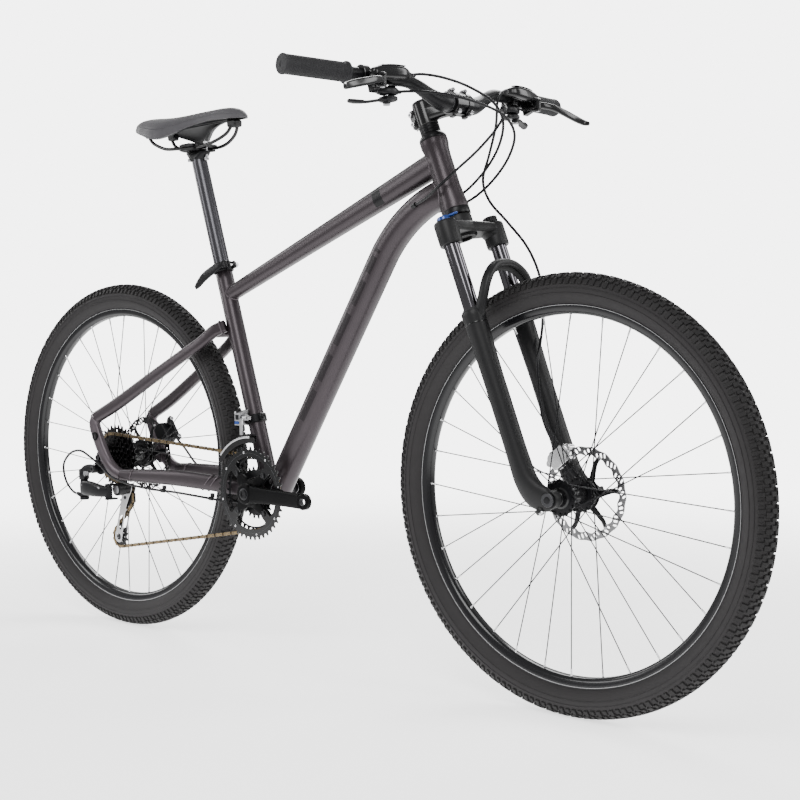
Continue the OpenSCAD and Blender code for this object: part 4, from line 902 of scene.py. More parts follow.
def slanted(loop, lean):
    """Loop whose top leans forward by this much of its height."""
    loop = np.array(loop)
    loop[:, 0] += lean * (loop[:, 2] - loop[:, 2].mean())
    return loop


def make_welds(down):
    """Beads at every joint between tubes."""
    beads = []
    end = np.array(down[-1][:3])
    near = np.array(down[-3][:3])
    beads.append(bead(crossing_loop(near - 60 * unit(end - near), end, 21.6, DOWN_R, STEER_FOOT,
                                    STEER_UP, 22.4), 2.2))
    a, b = np.array(TOP_ROWS[-3][:3]), np.array(TOP_ROWS[-1][:3])
    beads.append(bead(crossing_loop(a, b, 20.6, 21.4, STEER_FOOT, STEER_UP, 22.4), 2.0))
    a, b = np.array(TOP_ROWS[2][:3]), np.array(TOP_ROWS[0][:3])
    beads.append(bead(crossing_loop(a, b, 15.2, 15.2, BB, SEAT_UP, SEAT_R + 0.4), 1.9))
    beads.append(bead(crossing_loop(BEND_AT, TUBE_FOOT, DOWN_R, DOWN_R, BB, Y, 21.0), 2.2))
    beads.append(bead(crossing_loop(BB + 300 * SEAT_UP, BB, SEAT_R, SEAT_R, BB, Y, 21.0), 2.0))
    side = [bead(section_loop(ELBOW, 0.15, 0.2, power=2.6), 1.3, "frame_light")]
    for at, grow, lean, r in ((STAY_WELD, 0.2, 0.5, 1.3), (3.0, 0.15, 0.9, 1.1), (3.25, 0.15, 0.9, 1.1)):
        side.append(bead(slanted(section_loop(CHAIN_STAY, at, grow, power=2.8), lean), r, "frame_light"))
    side.append(bead(section_loop(SEAT_STAY, 5.6, 0.6, power=2.8), 1.6))
    piece("frame_welds", "frame", beads + [both(*side)])


make_frame()


# ---------- Fork ----------
LEG_AHEAD, LEG_SIDE = 18.0, 65.0
LEG_AT = (LEG_AHEAD, -LEG_SIDE, 0)
CROWN_LOW, CROWN_HIGH, SEAL_TOP = 463.0, 506.0, 342.0
LEG = [[18, -65, 205, 17.6, 17.6], [18, -65, 120, 17.2, 17.4], [18, -65, 80, 17.3, 18.2],
       [19, -65, 45, 16.6, 20], [27, -64, 18, 13, 22.5], [40, -61, 4, 10, 21], [51, -58.5, -3, 8.4, 16],
       [58, -58.3, -9, 7.6, 8]]
ARCH = [[22, -66, 322, 9.5, 8], [44, -65, 352, 8.6, 7], [60, -54, 386, 8.6, 6.6], [64, -28, 408, 8.2, 6.2],
        [64, 0, 413, 8, 6.2], [64, 28, 408, 8.2, 6.2], [60, 54, 386, 8.6, 6.6], [44, 65, 352, 8.6, 7],
        [22, 66, 322, 9.5, 8]]


def make_crown():
    """Crown with steerer, stanchions, lockout lever and preload knob."""
    middle = revolve([(14.2, 484), (21, 484), (24.4, 487), (24.4, 505), (22, 508), (14.2, 508)],
                     "matte_black", ORIGIN, Z, 56, True)
    arch = slabs(Z, "matte_black", ((4, 0, 0), 24.4, 489, 508, 32, 3),
                 ((LEG_AHEAD, -61, 0), 18, 487, 504, 28, 4))
    foot = slabs(Z, "matte_black", ((LEG_AHEAD - 3, -50, 0), 15, 487, 500, 28, 3),
                 ((LEG_AHEAD, -61, 0), 18, 478, 504, 28, 4))
    arm = joined([middle, arch, foot])
    lip = []
    for grow, depth in ((1.0, 0.0), (0.9, -0.8), (0.72, -1.0)):
        lip.append([(depth, 13 * grow * c(a), 4.6 * grow * s(a)) for a in range(0, 360, 12)])
    lip = Shape(np.vstack(lip), grid_faces(3, 30, False) + [tuple(range(60, 90))], "gloss_black")
    lean = unit(np.array([LEG_AHEAD + 18 - 28.4, -61, 0]))
    front = np.cross([0, 0, 1], -lean)
    lip = placed(lip, np.array([28.4, 0, 498]) + 33 * lean + 1.3 * unit(front), unit(front), lean, Z)
    collar = revolve([(14.05, CROWN_LOW), (18.4, CROWN_LOW), (19.6, CROWN_LOW + 1.2), (20, CROWN_LOW + 6),
                      (20, CROWN_HIGH - 5), (19.2, CROWN_HIGH - 1.5), (17.6, CROWN_HIGH),
                      (14.05, CROWN_HIGH)], "matte_black", LEG_AT, Z, 56, True)
    steerer = revolve([(14.2, 495), (14.2, 742), (12, 742), (12, 495)], "black_alloy", ORIGIN, Z, 48, True)
    seat = revolve([(14, 506), (24, 506), (24, 521), (22.5, 524.5), (14, 525)], "matte_black",
                   ORIGIN, Z, 56, True)
    piece("fork_crown_forged", "steering",
          [on_steering(both(arm, collar, lip), steerer, seat)], ["fork_crown"])
    tube_shape = revolve([(12, 132), (13.9, 132), (14, 134), (14, 502), (12, 502)], "stanchion",
                         LEG_AT, Z, 56, True)
    cap = revolve([(13.8, 500), (13.8, 506.4), (12.8, 507), (9, 507), (8.6, 505.8), (0, 505.8)],
                  "gloss_black", LEG_AT, Z, 48)
    piece("stanchion_pair", "steering", [on_steering(both(tube_shape, cap))],
          ["stanchions"])
    at = np.array([LEG_AHEAD, -LEG_SIDE, CROWN_HIGH])
    rows = [[*(at + p), w, h] for p, w, h in (((2, 1, 6), 6, 2.2), ((14, 5, 6.4), 4.4, 2),
                                              ((24, 9, 7.2), 3.2, 1.7))]
    lever = [revolve([(12, 1.4), (12, 6.4), (10.8, 8.2), (7, 8.4), (6.6, 7.4), (0, 7.4)],
                     "blue", at, Z, 40),
             sweep(rows, "blue", 16, 5, power=3.5, ends="round"),
             bolt(at + [0, 0, 7.4], Z, 3.2, 1.4, "black_alloy")]
    piece("lockout_lever_blue", "lockout_lever", [on_steering(*lever)], ["lockout_lever"])
    knob_loop = [polar(11.6 + 1.4 * min(1.0, 1.8 * s(6 * a) ** 2), a)
                 for a in np.linspace(0, 360, 144, endpoint=False)]
    top = plate([knob_loop], 1.4, 12.6, "black_alloy", 1.0)
    top = placed(top, [LEG_AHEAD, LEG_SIDE, CROWN_HIGH], X, Z, (0, -1, 0))
    dial = revolve([(8.6, 12.6), (8.6, 13.2), (8, 13.4), (0, 13.4)], "blue",
                   [LEG_AHEAD, LEG_SIDE, CROWN_HIGH], Z, 36)
    piece("preload_knob_fluted", "preload_knob", [on_steering(top, dial)], ["preload_knob"])


def make_lowers():
    """Both legs with wiper seals, dropouts and the arch."""
    upper = revolve([(17.5, 150), (17.6, 195), (18.0, 235), (18.8, 275), (19.5, 305), (19.6, 326),
                     (20.4, 331), (20.5, 334), (20.5, SEAL_TOP - 2), (19.4, SEAL_TOP), (14.1, SEAL_TOP),
                     (14.1, 150)], "matte_black", LEG_AT, Z, 64, True)
    wiper = revolve([(14.1, SEAL_TOP - 1), (18.6, SEAL_TOP - 1), (18.3, SEAL_TOP + 1.6),
                     (16.2, SEAL_TOP + 2.4), (15.6, SEAL_TOP + 4.6), (14.1, SEAL_TOP + 5)],
                    "rubber", LEG_AT, Z, 56, True)
    groove = revolve([(19.62, 318), (19.8, 318.5), (19.8, 320), (19.62, 320.5)], "gloss_black",
                     LEG_AT, Z, 56)
    leg = sweep(LEG, "matte_black", 40, 8, power=2.15)
    boss_outline = circle((51, 0), 15, 48)
    boss = plate([boss_outline, circle((51, 0), 5.05, 24)], -66, -50.1, "matte_black", 0.9)
    cups = [plate([circle((51 + 10.2 * c(a), 10.2 * s(a)), 2.5, 18)], -66.15, -65.9, "graphic", 0.05)
            for a in (150, 210, 270)]
    foot = revolve([(8.6, -4), (8.6, 2), (0, 2)], "matte_black", (27, -63.6, -12), unit([0.45, 0, -1]), 28)
    screw = bolt((28.2, -63.6, -14.4), unit([0.45, 0, -1]), 6.0, 3.2, "bright_alloy")
    arch = sweep(ARCH, "matte_black", 28, 8, side=Z, power=2.8)
    brace = sweep([[r[0] - 5.5, r[1] * 0.93, r[2] - 7.5, 2.2, 5.4] for r in ARCH[1:-1]], "matte_black", 14,
                  8, side=Z, power=3)
    piece("fork_lowers_cast", "fork_slider",
          [on_steering(both(upper, wiper, groove, leg, boss, foot, screw, *cups), arch, brace)],
          ["fork_lowers"])


def cam_lever(name, body, at, y):
    """Quick-release lever with a curved blade, on its cam barrel."""
    blade = sweep([[2, 0, 0, 4.2, 5.6], [14, 2, 0, 3.6, 6], [30, 4, 0, 2.5, 7], [48, 4, 0, 2.4, 7.5],
                   [62, 2, 0, 2.3, 6.6], [69, 0.4, 0, 2, 4.6]], "black_alloy", 24, 8, power=3, ends="round")
    rib = sweep([[22, 6.0, 0, 0.6, 3.4], [40, 6.8, 0, 0.6, 4.2], [56, 5.4, 0, 0.6, 3.4]], "dark_steel",
                12, 6, power=3)
    barrel = revolve([(5.2, -7), (6, -6.2), (6, 6.2), (5.2, 7)], "black_alloy", ORIGIN, Z, 32)
    pin = [bolt((0, 0, 7 * k), (0, 0, k), 3.4, 0.6, "steel") for k in (-1, 1)]
    made = turned(joined([blade, barrel, rib] + pin), 150)
    piece(name, body, [placed(made, np.array(at) + [0, y, 0])], [body])


def make_axles():
    """Axles, nuts and quick-release levers."""
    def nut(at, y0, y1, r):
        knurl = [polar(r - 0.7 * (0.5 + 0.5 * c(24 * a)), a) for a in range(0, 360, 3)]
        return placed(plate([knurl], y0, y1, "dark_steel", 0.7), at)

    front = [rod(FRONT + [0, -50, 0], FRONT + [0, 50, 0], 5, "steel"), nut(FRONT, -72, -66.2, 12),
             placed(revolve([(3, -73.4), (5.4, -73.2), (6.2, -72)], "black_alloy", n=24), FRONT),
             rod(FRONT + [0, -71, 0], FRONT + [0, 75, 0], 4.4, "dark_steel"),
             ring(FRONT + [0, -49.9, 0], FRONT + [0, -46.4, 0], 4.5, 9, "black_alloy"),
             ring(FRONT + [0, 46.4, 0], FRONT + [0, 49.9, 0], 4.5, 9, "black_alloy"),
             revolve([(9, 66.2), (10, 67.2), (10, 75), (8, 79)], "black_alloy", FRONT, Y, 40)]
    piece("front_axle_and_skewer", "fork_slider", front, ["front_axle"])
    rear = [rod(REAR + [0, -72, 0], REAR + [0, 72, 0], 4.9, "steel"),
            rod(REAR + [0, -84, 0], REAR + [0, 80, 0], 2.5, "steel"), nut(REAR, -84, -78.1, 6.4),
            ring(REAR + [0, -67.5, 0], REAR + [0, -65.2, 0], 4.5, 8.5, "black_alloy"),
            ring(REAR + [0, 61.4, 0], REAR + [0, 67.5, 0], 4.5, 8.5, "black_alloy"),
            revolve([(6.4, 74.7), (6.4, 82), (5.6, 85)], "black_alloy", REAR, Y, 36)]
    piece("rear_axle_and_skewer", "frame", rear, ["rear_axle"])
    cam_lever("front_quick_release", "front_skewer_lever", FRONT, 86)
    cam_lever("rear_quick_release", "rear_skewer_lever", REAR, 92)


make_crown()
make_lowers()
make_axles()


# ---------- Seat ----------
SADDLE = [  # x, half width, top of the middle, height of the edges
    (-480, 28, 1072, 1062), (-477, 42, 1076, 1058), (-466, 56, 1079, 1050), (-450, 64, 1080, 1043),
    (-432, 68, 1079.5, 1037), (-405, 71, 1078, 1028), (-380, 66, 1077.5, 1027.5), (-356, 53, 1078.5, 1036),
    (-335, 42, 1080, 1046), (-309, 32, 1082, 1054), (-280, 26, 1083.5, 1059), (-252, 23, 1084.5, 1060),
    (-228, 20, 1083.5, 1060), (-208, 15.5, 1078.5, 1060), (-197, 10, 1071.5, 1060.5), (-192, 4, 1066, 1062)]
SADDLE_ROUND = 0.86


def saddle_shell(inset, depth, thick, name, steps, first=0, last=None):
    """Curved shell following the saddle: set in from its edges and top, and as thick as stated."""
    rows = curve(SADDLE, steps)[first:last]
    n = 44
    points = []
    for x, half, top, low in rows:
        groove = 1.6 * math.exp(-((x + 415) / 55) ** 2)
        for k in range(2 * n):
            outer = k < n
            a = math.pi * (k + 0.5) / n if outer else math.pi * (2 * n - k - 0.5) / n
            less, down = (inset, depth) if outer else (inset + thick * 0.8, depth + thick)
            wide = max(half - less, 0.8)
            high = max(top - down - low, 0.6) if outer else max(top - down - low, 0.3)
            y = wide * math.copysign(abs(math.cos(a)) ** SADDLE_ROUND, math.cos(a))
            z = low + high * math.sin(a) ** SADDLE_ROUND + (0 if outer else 0.8)
            if outer:
                z -= groove * math.exp(-(y / 12) ** 2)
            else:
                z = min(z, low + max(top - depth - low, 0.6) * math.sin(a) ** SADDLE_ROUND - 0.2)
            points.append((x, y, z))
    m = 2 * n
    ends = [tuple(range(m)), tuple((len(rows) - 1) * m + k for k in range(m))]
    return Shape(points, grid_faces(len(rows), m, False) + ends, name)


def saddle_cover():
    """Padded cover with a seam along each side."""
    cover = saddle_shell(0, 0, 7.5, "saddle_skin", 5)
    rows = curve(SADDLE, 5)
    seams = []
    for side in (-1, 1):
        line = []
        for x, half, top, low in rows[4:-4]:
            a = math.radians(24)
            line.append([x, side * (half + 0.1) * math.cos(a) ** SADDLE_ROUND,
                         low + (top - low) * math.sin(a) ** SADDLE_ROUND + 0.15, 0.55, 0.55])
        seams.append(sweep(line[::2], "saddle_skin", 8, 3, ends="round"))
    return joined([cover] + seams)


SEAT_HEAD_X = -336  # middle of the seatpost's head


def make_seat():
    """Seatpost, clamp, rails, saddle base and cover."""
    post = on_seat_tube(revolve([(13.6, 350), (15.8, 350), (15.8, 684), (15.2, 692), (13.6, 696)],
                                "post_grey", axis=Z, n=56, closed=True))
    head = slabs(Z, "black_alloy", ((SEAT_HEAD_X, 0, 0), 15.6, 984, 990, 28),
                 *[((SEAT_HEAD_X + 17 * k, 0, 0), 13, 999, 1005, 24, 1.5) for k in (-1, 1)])
    piece("seatpost_tube", "seat", [post, head], ["seatpost"])
    rails = [[-452, -30, 1038], [-440, -28, 1026], [-410, -24, 1014], [-375, -22, 1012], [-335, -22, 1012],
             [-300, -22, 1012], [-268, -19, 1018], [-238, -12, 1032], [-226, -8, 1048]]
    piece("saddle_rails_bent", "seat", [both(tube(rails, 3.5, "gloss_black", 18, 8))],
          ["saddle_rails"])
    jaws = [block((SEAT_HEAD_X, 25 * k, 1015.9), (36, 12, 6.8), "black_alloy", 1.4) for k in (-1, 1)]
    jaws += [block((SEAT_HEAD_X, 25 * k, 1008.4), (38, 12, 6.2), "black_alloy", 1.4) for k in (-1, 1)]
    jaws += [block((SEAT_HEAD_X + 24 * k, 0, 1015.6), (12, 52, 6.4), "black_alloy", 1.6) for k in (-1, 1)]
    jaws += [block((SEAT_HEAD_X, 0, 1008.2), (34, 46, 5.6), "black_alloy", 1.4)]
    bolts = []
    for k in (-1, 1):
        at = np.array([SEAT_HEAD_X + 25.5 * k, 0, 1012.0])
        bolts += [rod(at - [0, 0, 22], at + [0, 0, 9], 2.6, "steel", 16),
                  revolve([(4.4, -26), (5, -25), (5, -20.6), (4.4, -20)], "steel", at, Z, 24),
                  ring(at + [0, -5.5, 9], at + [0, 5.5, 9], 0.5, 3.6, "steel", 24)]
    piece("saddle_clamp_two_bolt", "seat", jaws + bolts, ["saddle_clamp"])
    base = [saddle_shell(5.6, 8.0, 3.0, "plastic", 4, 3, -6)]
    base += [both(block((-449, -30, 1045), (24, 15, 14), "plastic", 3)),
             block((-226, 0, 1052), (26, 22, 14), "plastic", 3)]
    rib = sweep([[-440, -20, 1060, 2.5, 6], [-340, -9, 1062, 2.5, 6], [-240, -5, 1064, 2.5, 5]], "plastic",
                12, 6, power=3)
    base.append(both(rib))
    piece("saddle_base_shell", "seat", base, ["saddle_base"])
    cover = piece("saddle_cover_padded", "seat", [saddle_cover()], ["saddle_cover"], 60)


def make_seat_clamp():
    """Collar and its quick-release lever."""
    collar = ring([0, 0, 452], [0, 0, 470], SEAT_R + 0.1, 21, "black_alloy", 64, 1.2)
    ears = [block((24.5, 7, 460), (11, 6, 15), "black_alloy", 1.5),
            block((24.5, -7, 460), (11, 6, 15), "black_alloy", 1.5)]
    nut = revolve([(2.4, -10.4), (2.4, 10.2), (5.2, 10.2), (6, 11), (6, 15), (5, 16), (0.4, 16)],
                  "bright_alloy", (25, 0, 460), Y, 32)
    piece("seat_collar", "frame", [on_seat_tube(collar, *ears, nut)], ["seat_clamp"])
    rows = [[26, -22, 460, 3.4, 5.4], [14, -26, 459, 3, 7.2], [0, -27.4, 457, 2.4, 8.6],
            [-16, -28.6, 454, 2.2, 9], [-34, -28, 450, 2, 9], [-54, -25, 444, 2, 7.4],
            [-66, -22.8, 441, 2, 4.6]]
    blade = sweep(rows, "black_alloy", 28, 8, power=2.8, ends="round")
    panel = sweep([[8, -29.2, 458, 0.7, 4], [-10, -30.6, 455, 0.7, 4.6], [-26, -30.6, 452, 0.7, 4.2]],
                  "graphic", 16, 6, power=2.6, ends="round")
    boss = revolve([(6.2, 453), (7, 454), (7, 466), (6.2, 467)], "black_alloy", (25, -18, 0), Z, 36)
    pin = bolt((25, -18, 467), Z, 3.6, 0.8, "steel")
    piece("seat_clamp_blade", "seat_clamp_lever", [on_seat_tube(blade, boss, panel, pin)],
          ["seat_clamp_lever"])


make_seat()
make_seat_clamp()


# ---------- Cockpit ----------
BAR_AHEAD, BAR_UP = 72.0, 706.0
BAR_AT = STEER_FOOT + BAR_UP * STEER_UP + BAR_AHEAD * STEER_AHEAD
SWEEP_BACK, RISE_OUT, GRIP_R = 0.187, 0.022, 11.1


def bar_on(y):
    """Centre of the straight outer bar at distance y from the middle."""
    return np.array([BAR_AT[0] - 20 - SWEEP_BACK * (y - 165), y, BAR_AT[2] + 29.5 + RISE_OUT * (y - 165)])


def on_bar(y, *shapes):
    """From y out along the bar at distance y from the middle, z up."""
    back = Matrix.Rotation(math.atan(SWEEP_BACK), 3, "Z")
    rise = Matrix.Rotation(math.atan(RISE_OUT), 3, "X")
    turn = np.array(back @ rise)
    return placed(joined(shapes), bar_on(y), turn[:, 0], turn[:, 1], turn[:, 2])


def bar_clamp(r, start, end, n, y0, y1, chamfer):
    """Part of the ring round the handlebar, between two angles."""
    middle = (BAR_AHEAD, BAR_UP)
    return plate([np.vstack([arc(middle, r, start, end, n), arc(middle, 16.0, end, start, n)])], y0, y1,
                 "gloss_black", chamfer)


def make_stem():
    """Stem with faceplates, bolts, spacers and top cap."""
    tower = revolve([(14.3, 700), (17.6, 700), (18.5, 701), (18.5, 741), (17.6, 742), (14.3, 742)],
                    "gloss_black", ORIGIN, Z, 64, True)
    body = sweep([[2, 0, 721, 15, 17.5], [16, 0, 718.5, 13, 15.5], [34, 0, 714, 12.4, 14.2],
                  [50, 0, 710, 13.6, 15], [60, 0, 708, 17, 18]], "gloss_black", 36, 8, power=3)
    ear = block((-20.5, 0, 721), (13, 25, 36), "gloss_black", 3)
    slot = block((-27.2, 0, 721), (1.2, 1.6, 36), "graphic", 0.2)
    clamp = [bar_clamp(20.6, 82, 278, 40, -22, 22, 0.8)]
    clamp += [bar_clamp(20.8, -76, 76, 32, y - 6.5, y + 6.5, 0.8) for y in (-15.5, 15.5)]
    clamp.append(bar_clamp(19.6, -40, 40, 20, -10, 10, 0.6))
    screws = []
    for y in (-16.5, 16.5):
        for k in (-1, 1):
            at = np.array([BAR_AHEAD, y, BAR_UP + 20.4 * k])
            clamp.append(block(at + [-4.5, 0, 0], (10, 10, 7), "gloss_black", 1.5))
            clamp.append(block(at + [6.5, 0, 0], (9, 10, 7), "gloss_black", 1.5))
            screws.append(rod(at - [9, 0, 0], at + [11, 0, 0], 2, "steel", 16))
            screws.append(bolt(at + [11, 0, 0], X, 3.6, 4, "steel"))
    for z in (712, 730):
        screws.append(rod((-21, -13.5, z), (-21, 13, z), 2.4, "steel", 16))
        screws.append(bolt((-21, -13, z), (0, -1, 0), 4.4, 4, "steel"))
        screws.append(bolt((-21, 12.5, z), Y, 3.4, 1.5, "steel", False))
    spacers = [ring((0, 0, lo), (0, 0, hi), 14.35, 18.3, "black_alloy", 56, 0.5)
               for lo, hi in ((683.5, 688.7), (688.9, 694.3), (694.5, 699.8))]
    cap = revolve([(17.4, 742.2), (18, 743), (17.4, 746), (15, 747), (6, 747), (5, 745.6), (0, 745.6)],
                  "black_alloy", ORIGIN, Z, 48)
    screws.append(bolt((0, 0, 745.4), Z, 4.2, 1.8, "steel"))
    piece("stem_forged", "steering",
          [on_steering(tower, body, ear, slot, cap, *clamp, *screws, *spacers)], ["stem"])


def make_headset():
    """Lower and upper cups."""
    rings = [revolve([(14.4, 526.2), (24.6, 526.2), (25, 527.5), (25, 536.8), (24.4, 537.8), (14.4, 537.8)],
                     "black_alloy", ORIGIN, Z, 64, True),
             revolve([(14.4, 671.2), (24.6, 671.2), (25, 672.4), (24.6, 676), (21.5, 680.5), (19, 683),
                      (14.4, 683)], "black_alloy", ORIGIN, Z, 64, True)]
    piece("headset_cups", "frame", [on_steering(*rings)], ["headset_bearings"])


def make_bar():
    """Riser handlebar and the two grips with their raised pattern."""
    half = [[0, 0, 0, 15.9], [0, 30, 0, 15.9], [-0.6, 46, 1, 15.2], [-4, 70, 9.5, 12.6], [-8, 94, 21, 11.3],
            [-12, 115, 27.6, 11.1]]
    rows = [[BAR_AT[0] + x, y, BAR_AT[2] + z, r, r] for x, y, z, r in half]
    rows += [[*bar_on(y), GRIP_R, GRIP_R] for y in (135, 150, 200, 250, 310, 366)]
    knurl = [ring(BAR_AT + [0, y, 0], BAR_AT + [0, y + 0.4, 0], 15.88, 15.97, "grey_panel", 56, 0.1)
             for y in (-27, -25, 24.6, 26.6)]
    piece("handlebar_riser", "steering",
          [both(sweep(rows, "black_alloy", 36, 6, side=X))] + knurl, ["handlebar"])
    profile = [(11.3, 0), (17.6, 0), (18.5, 0.8), (18.5, 3.2), (17.6, 4), (16.2, 4.6)]
    y = 6.0
    while y < 118:
        profile += [(16.0, y), (16.0, y + 1.7), (15.4, y + 2.1), (15.4, y + 2.7)]
        y += 3.1
    profile += [(16.0, 119.5), (16.0, 122), (16.9, 122.6), (16.9, 126), (15.8, 127.3), (4.5, 127.6),
                (4, 126.9), (0, 126.9)]
    grip = on_bar(242, revolve(profile, "rubber", n=64))
    pads = []
    for k in range(22):
        for j in range(30):
            y = 7.4 + 5.2 * k
            a = 12 * j + (6 if k % 2 else 0)
            if 200 < a % 360 < 330:
                continue
            u, v = np.array([c(a), 0, s(a)]), np.array([-s(a), 0, c(a)])
            e = np.array([0, 1.0, 0])
            m = 15.75 * u + [0, y, 0]
            ring_a = [m - 1.5 * v, m - 2.3 * e, m + 1.5 * v, m + 2.3 * e]
            ring_b = [m + 0.55 * u - 1.0 * v, m + 0.55 * u - 1.6 * e, m + 0.55 * u + 1.0 * v,
                      m + 0.55 * u + 1.6 * e]
            pads.append(Shape(ring_a + ring_b, grid_faces(2, 4, False) + [(4, 5, 6, 7)], "rubber"))
    piece("grips_textured", "steering", [both(grip, on_bar(242, *pads))], ["grips"])


LEVER_PIVOT = np.array([362.0, 212, 1052])
SHIFT_PIVOT = np.array([338.0, 176, 1034])


def make_brake_levers():
    """Lever bodies with clamps and fittings, and the two blades."""
    clamp = on_bar(203, revolve([(11.2, 0), (15.6, 0), (16.4, 1), (16.4, 13), (15.6, 14), (11.2, 14)],
                                "gloss_black", n=48, closed=True))
    body = sweep([[350, 136, 1069, 5, 6], [352, 143, 1069.6, 7, 8], [354, 154, 1070, 9, 10.4],
                  [353.4, 172, 1069.4, 10, 11.6], [352, 190, 1068, 10, 11.6], [350, 206, 1066.4, 10, 10.6],
                  [350, 218, 1064, 8.6, 9]], "gloss_black", 28, 8, side=X, power=2.7, ends="round")
    arm = slabs(Z, "gloss_black", (LEVER_PIVOT + [-2, 0, 0], 8.5, 7.4, 11.4, 20),
                ((352, 200, 1052), 7, 8, 14, 20))
    low = slabs(Z, "gloss_black", (LEVER_PIVOT + [-2, 0, 0], 8.5, -11.4, -7.4, 20),
                ((348, 208, 1052), 5, -11, -8, 20))
    back = block(LEVER_PIVOT + [-15, 0, 0], (6, 15, 22), "gloss_black", 1.2)
    bridge = hull([[x, y, z] for x, y, z in ((336, 203, 1034), (336, 217, 1034), (330, 203, 1058),
                                             (330, 217, 1058), (352, 204, 1040), (350, 216, 1040),
                                             (352, 204, 1064), (350, 216, 1064))], "gloss_black")
    lid = sweep([[353.6, 152, 1081.2, 6.6, 1.0], [352.6, 172, 1081.0, 7.6, 1.0],
                 [351.4, 192, 1079.4, 7.4, 1.0], [350.4, 204, 1077.4, 6.0, 1.0]],
                "plastic", 20, 6, side=X, power=4, ends="round")
    lids = [bolt((353.4, 157, 1081.6), Z, 2.2, 1.0, "steel"),
            bolt((351, 198, 1079.2), Z, 2.2, 1.0, "steel")]
    pivot = [rod(LEVER_PIVOT - [0, 0, 12], LEVER_PIVOT + [0, 0, 12], 2.9, "steel", 20),
             bolt(LEVER_PIVOT + [0, 0, 11.2], Z, 4.2, 1.6, "steel"),
             bolt(LEVER_PIVOT - [0, 0, 11.2], (0, 0, -1), 4.2, 1.6, "steel", False)]
    fitting = [revolve([(5.2, 0), (5.2, 6), (4, 7), (4, 11), (3.2, 12)], "gloss_black",
                       (351, 139, 1069), unit([0.25, -1, 0]), 6),
               revolve([(3.6, 10), (3.6, 15), (2.7, 16.5)], "rubber", (351, 139, 1069),
                       unit([0.25, -1, 0]), 20)]
    clasp = on_bar(210, bolt((10, 0, -14), (0, 0, -1), 3.2, 2.2, "steel"),
                   bolt((-13, 0, 8), (-0.8, 0, 0.6), 3.2, 2.2, "steel"),
                   block((-12, 0, 7), (7, 12, 7), "gloss_black", 1.5))
    adjust = revolve([(2.4, 0), (2.4, 5), (3.4, 5.4), (3.4, 9), (2.6, 9.6)], "steel",
                     LEVER_PIVOT + [-9, 3, -1], unit([0.55, 1, 0]), 18)
    piece("brake_lever_bodies_cast", "steering",
          [both(clamp, body, arm, low, back, bridge, lid, clasp, adjust, *lids, *pivot, *fitting)],
          ["brake_lever_bodies"])
    rows = [[-4, 0, 0, 6, 6], [6, 10, -1, 5, 6], [15, 30, -4, 3.5, 6], [19, 60, -11, 3, 6.5],
            [20, 90, -18, 3, 6.5], [24, 112, -24, 3, 5.5], [30, 120, -26, 3, 4]]
    blade = sweep(rows, "gloss_black", 24, 8, side=X, power=2.6, ends="round")
    barrel = revolve([(6, -7), (6.5, -6.4), (6.5, 6.4), (6, 7)], "gloss_black", ORIGIN, Z, 32)
    holes = [revolve([(2.3, 0), (2.3, 0.5), (1.7, 0.6)], "dark_steel",
                     (p[0] + 2.6, p[1], p[2]), (1, 0.05, 0), 16)
             for p in ((18, 62, -11.5), (18.6, 72, -13.8), (19, 82, -16))]
    left = placed(joined([blade, barrel] + holes), LEVER_PIVOT)
    for side, shape in (("left", left), ("right", flipped(left))):
        piece(f"{side}_brake_blade", f"{side}_brake_lever", [shape], [f"{side}_brake_lever"])


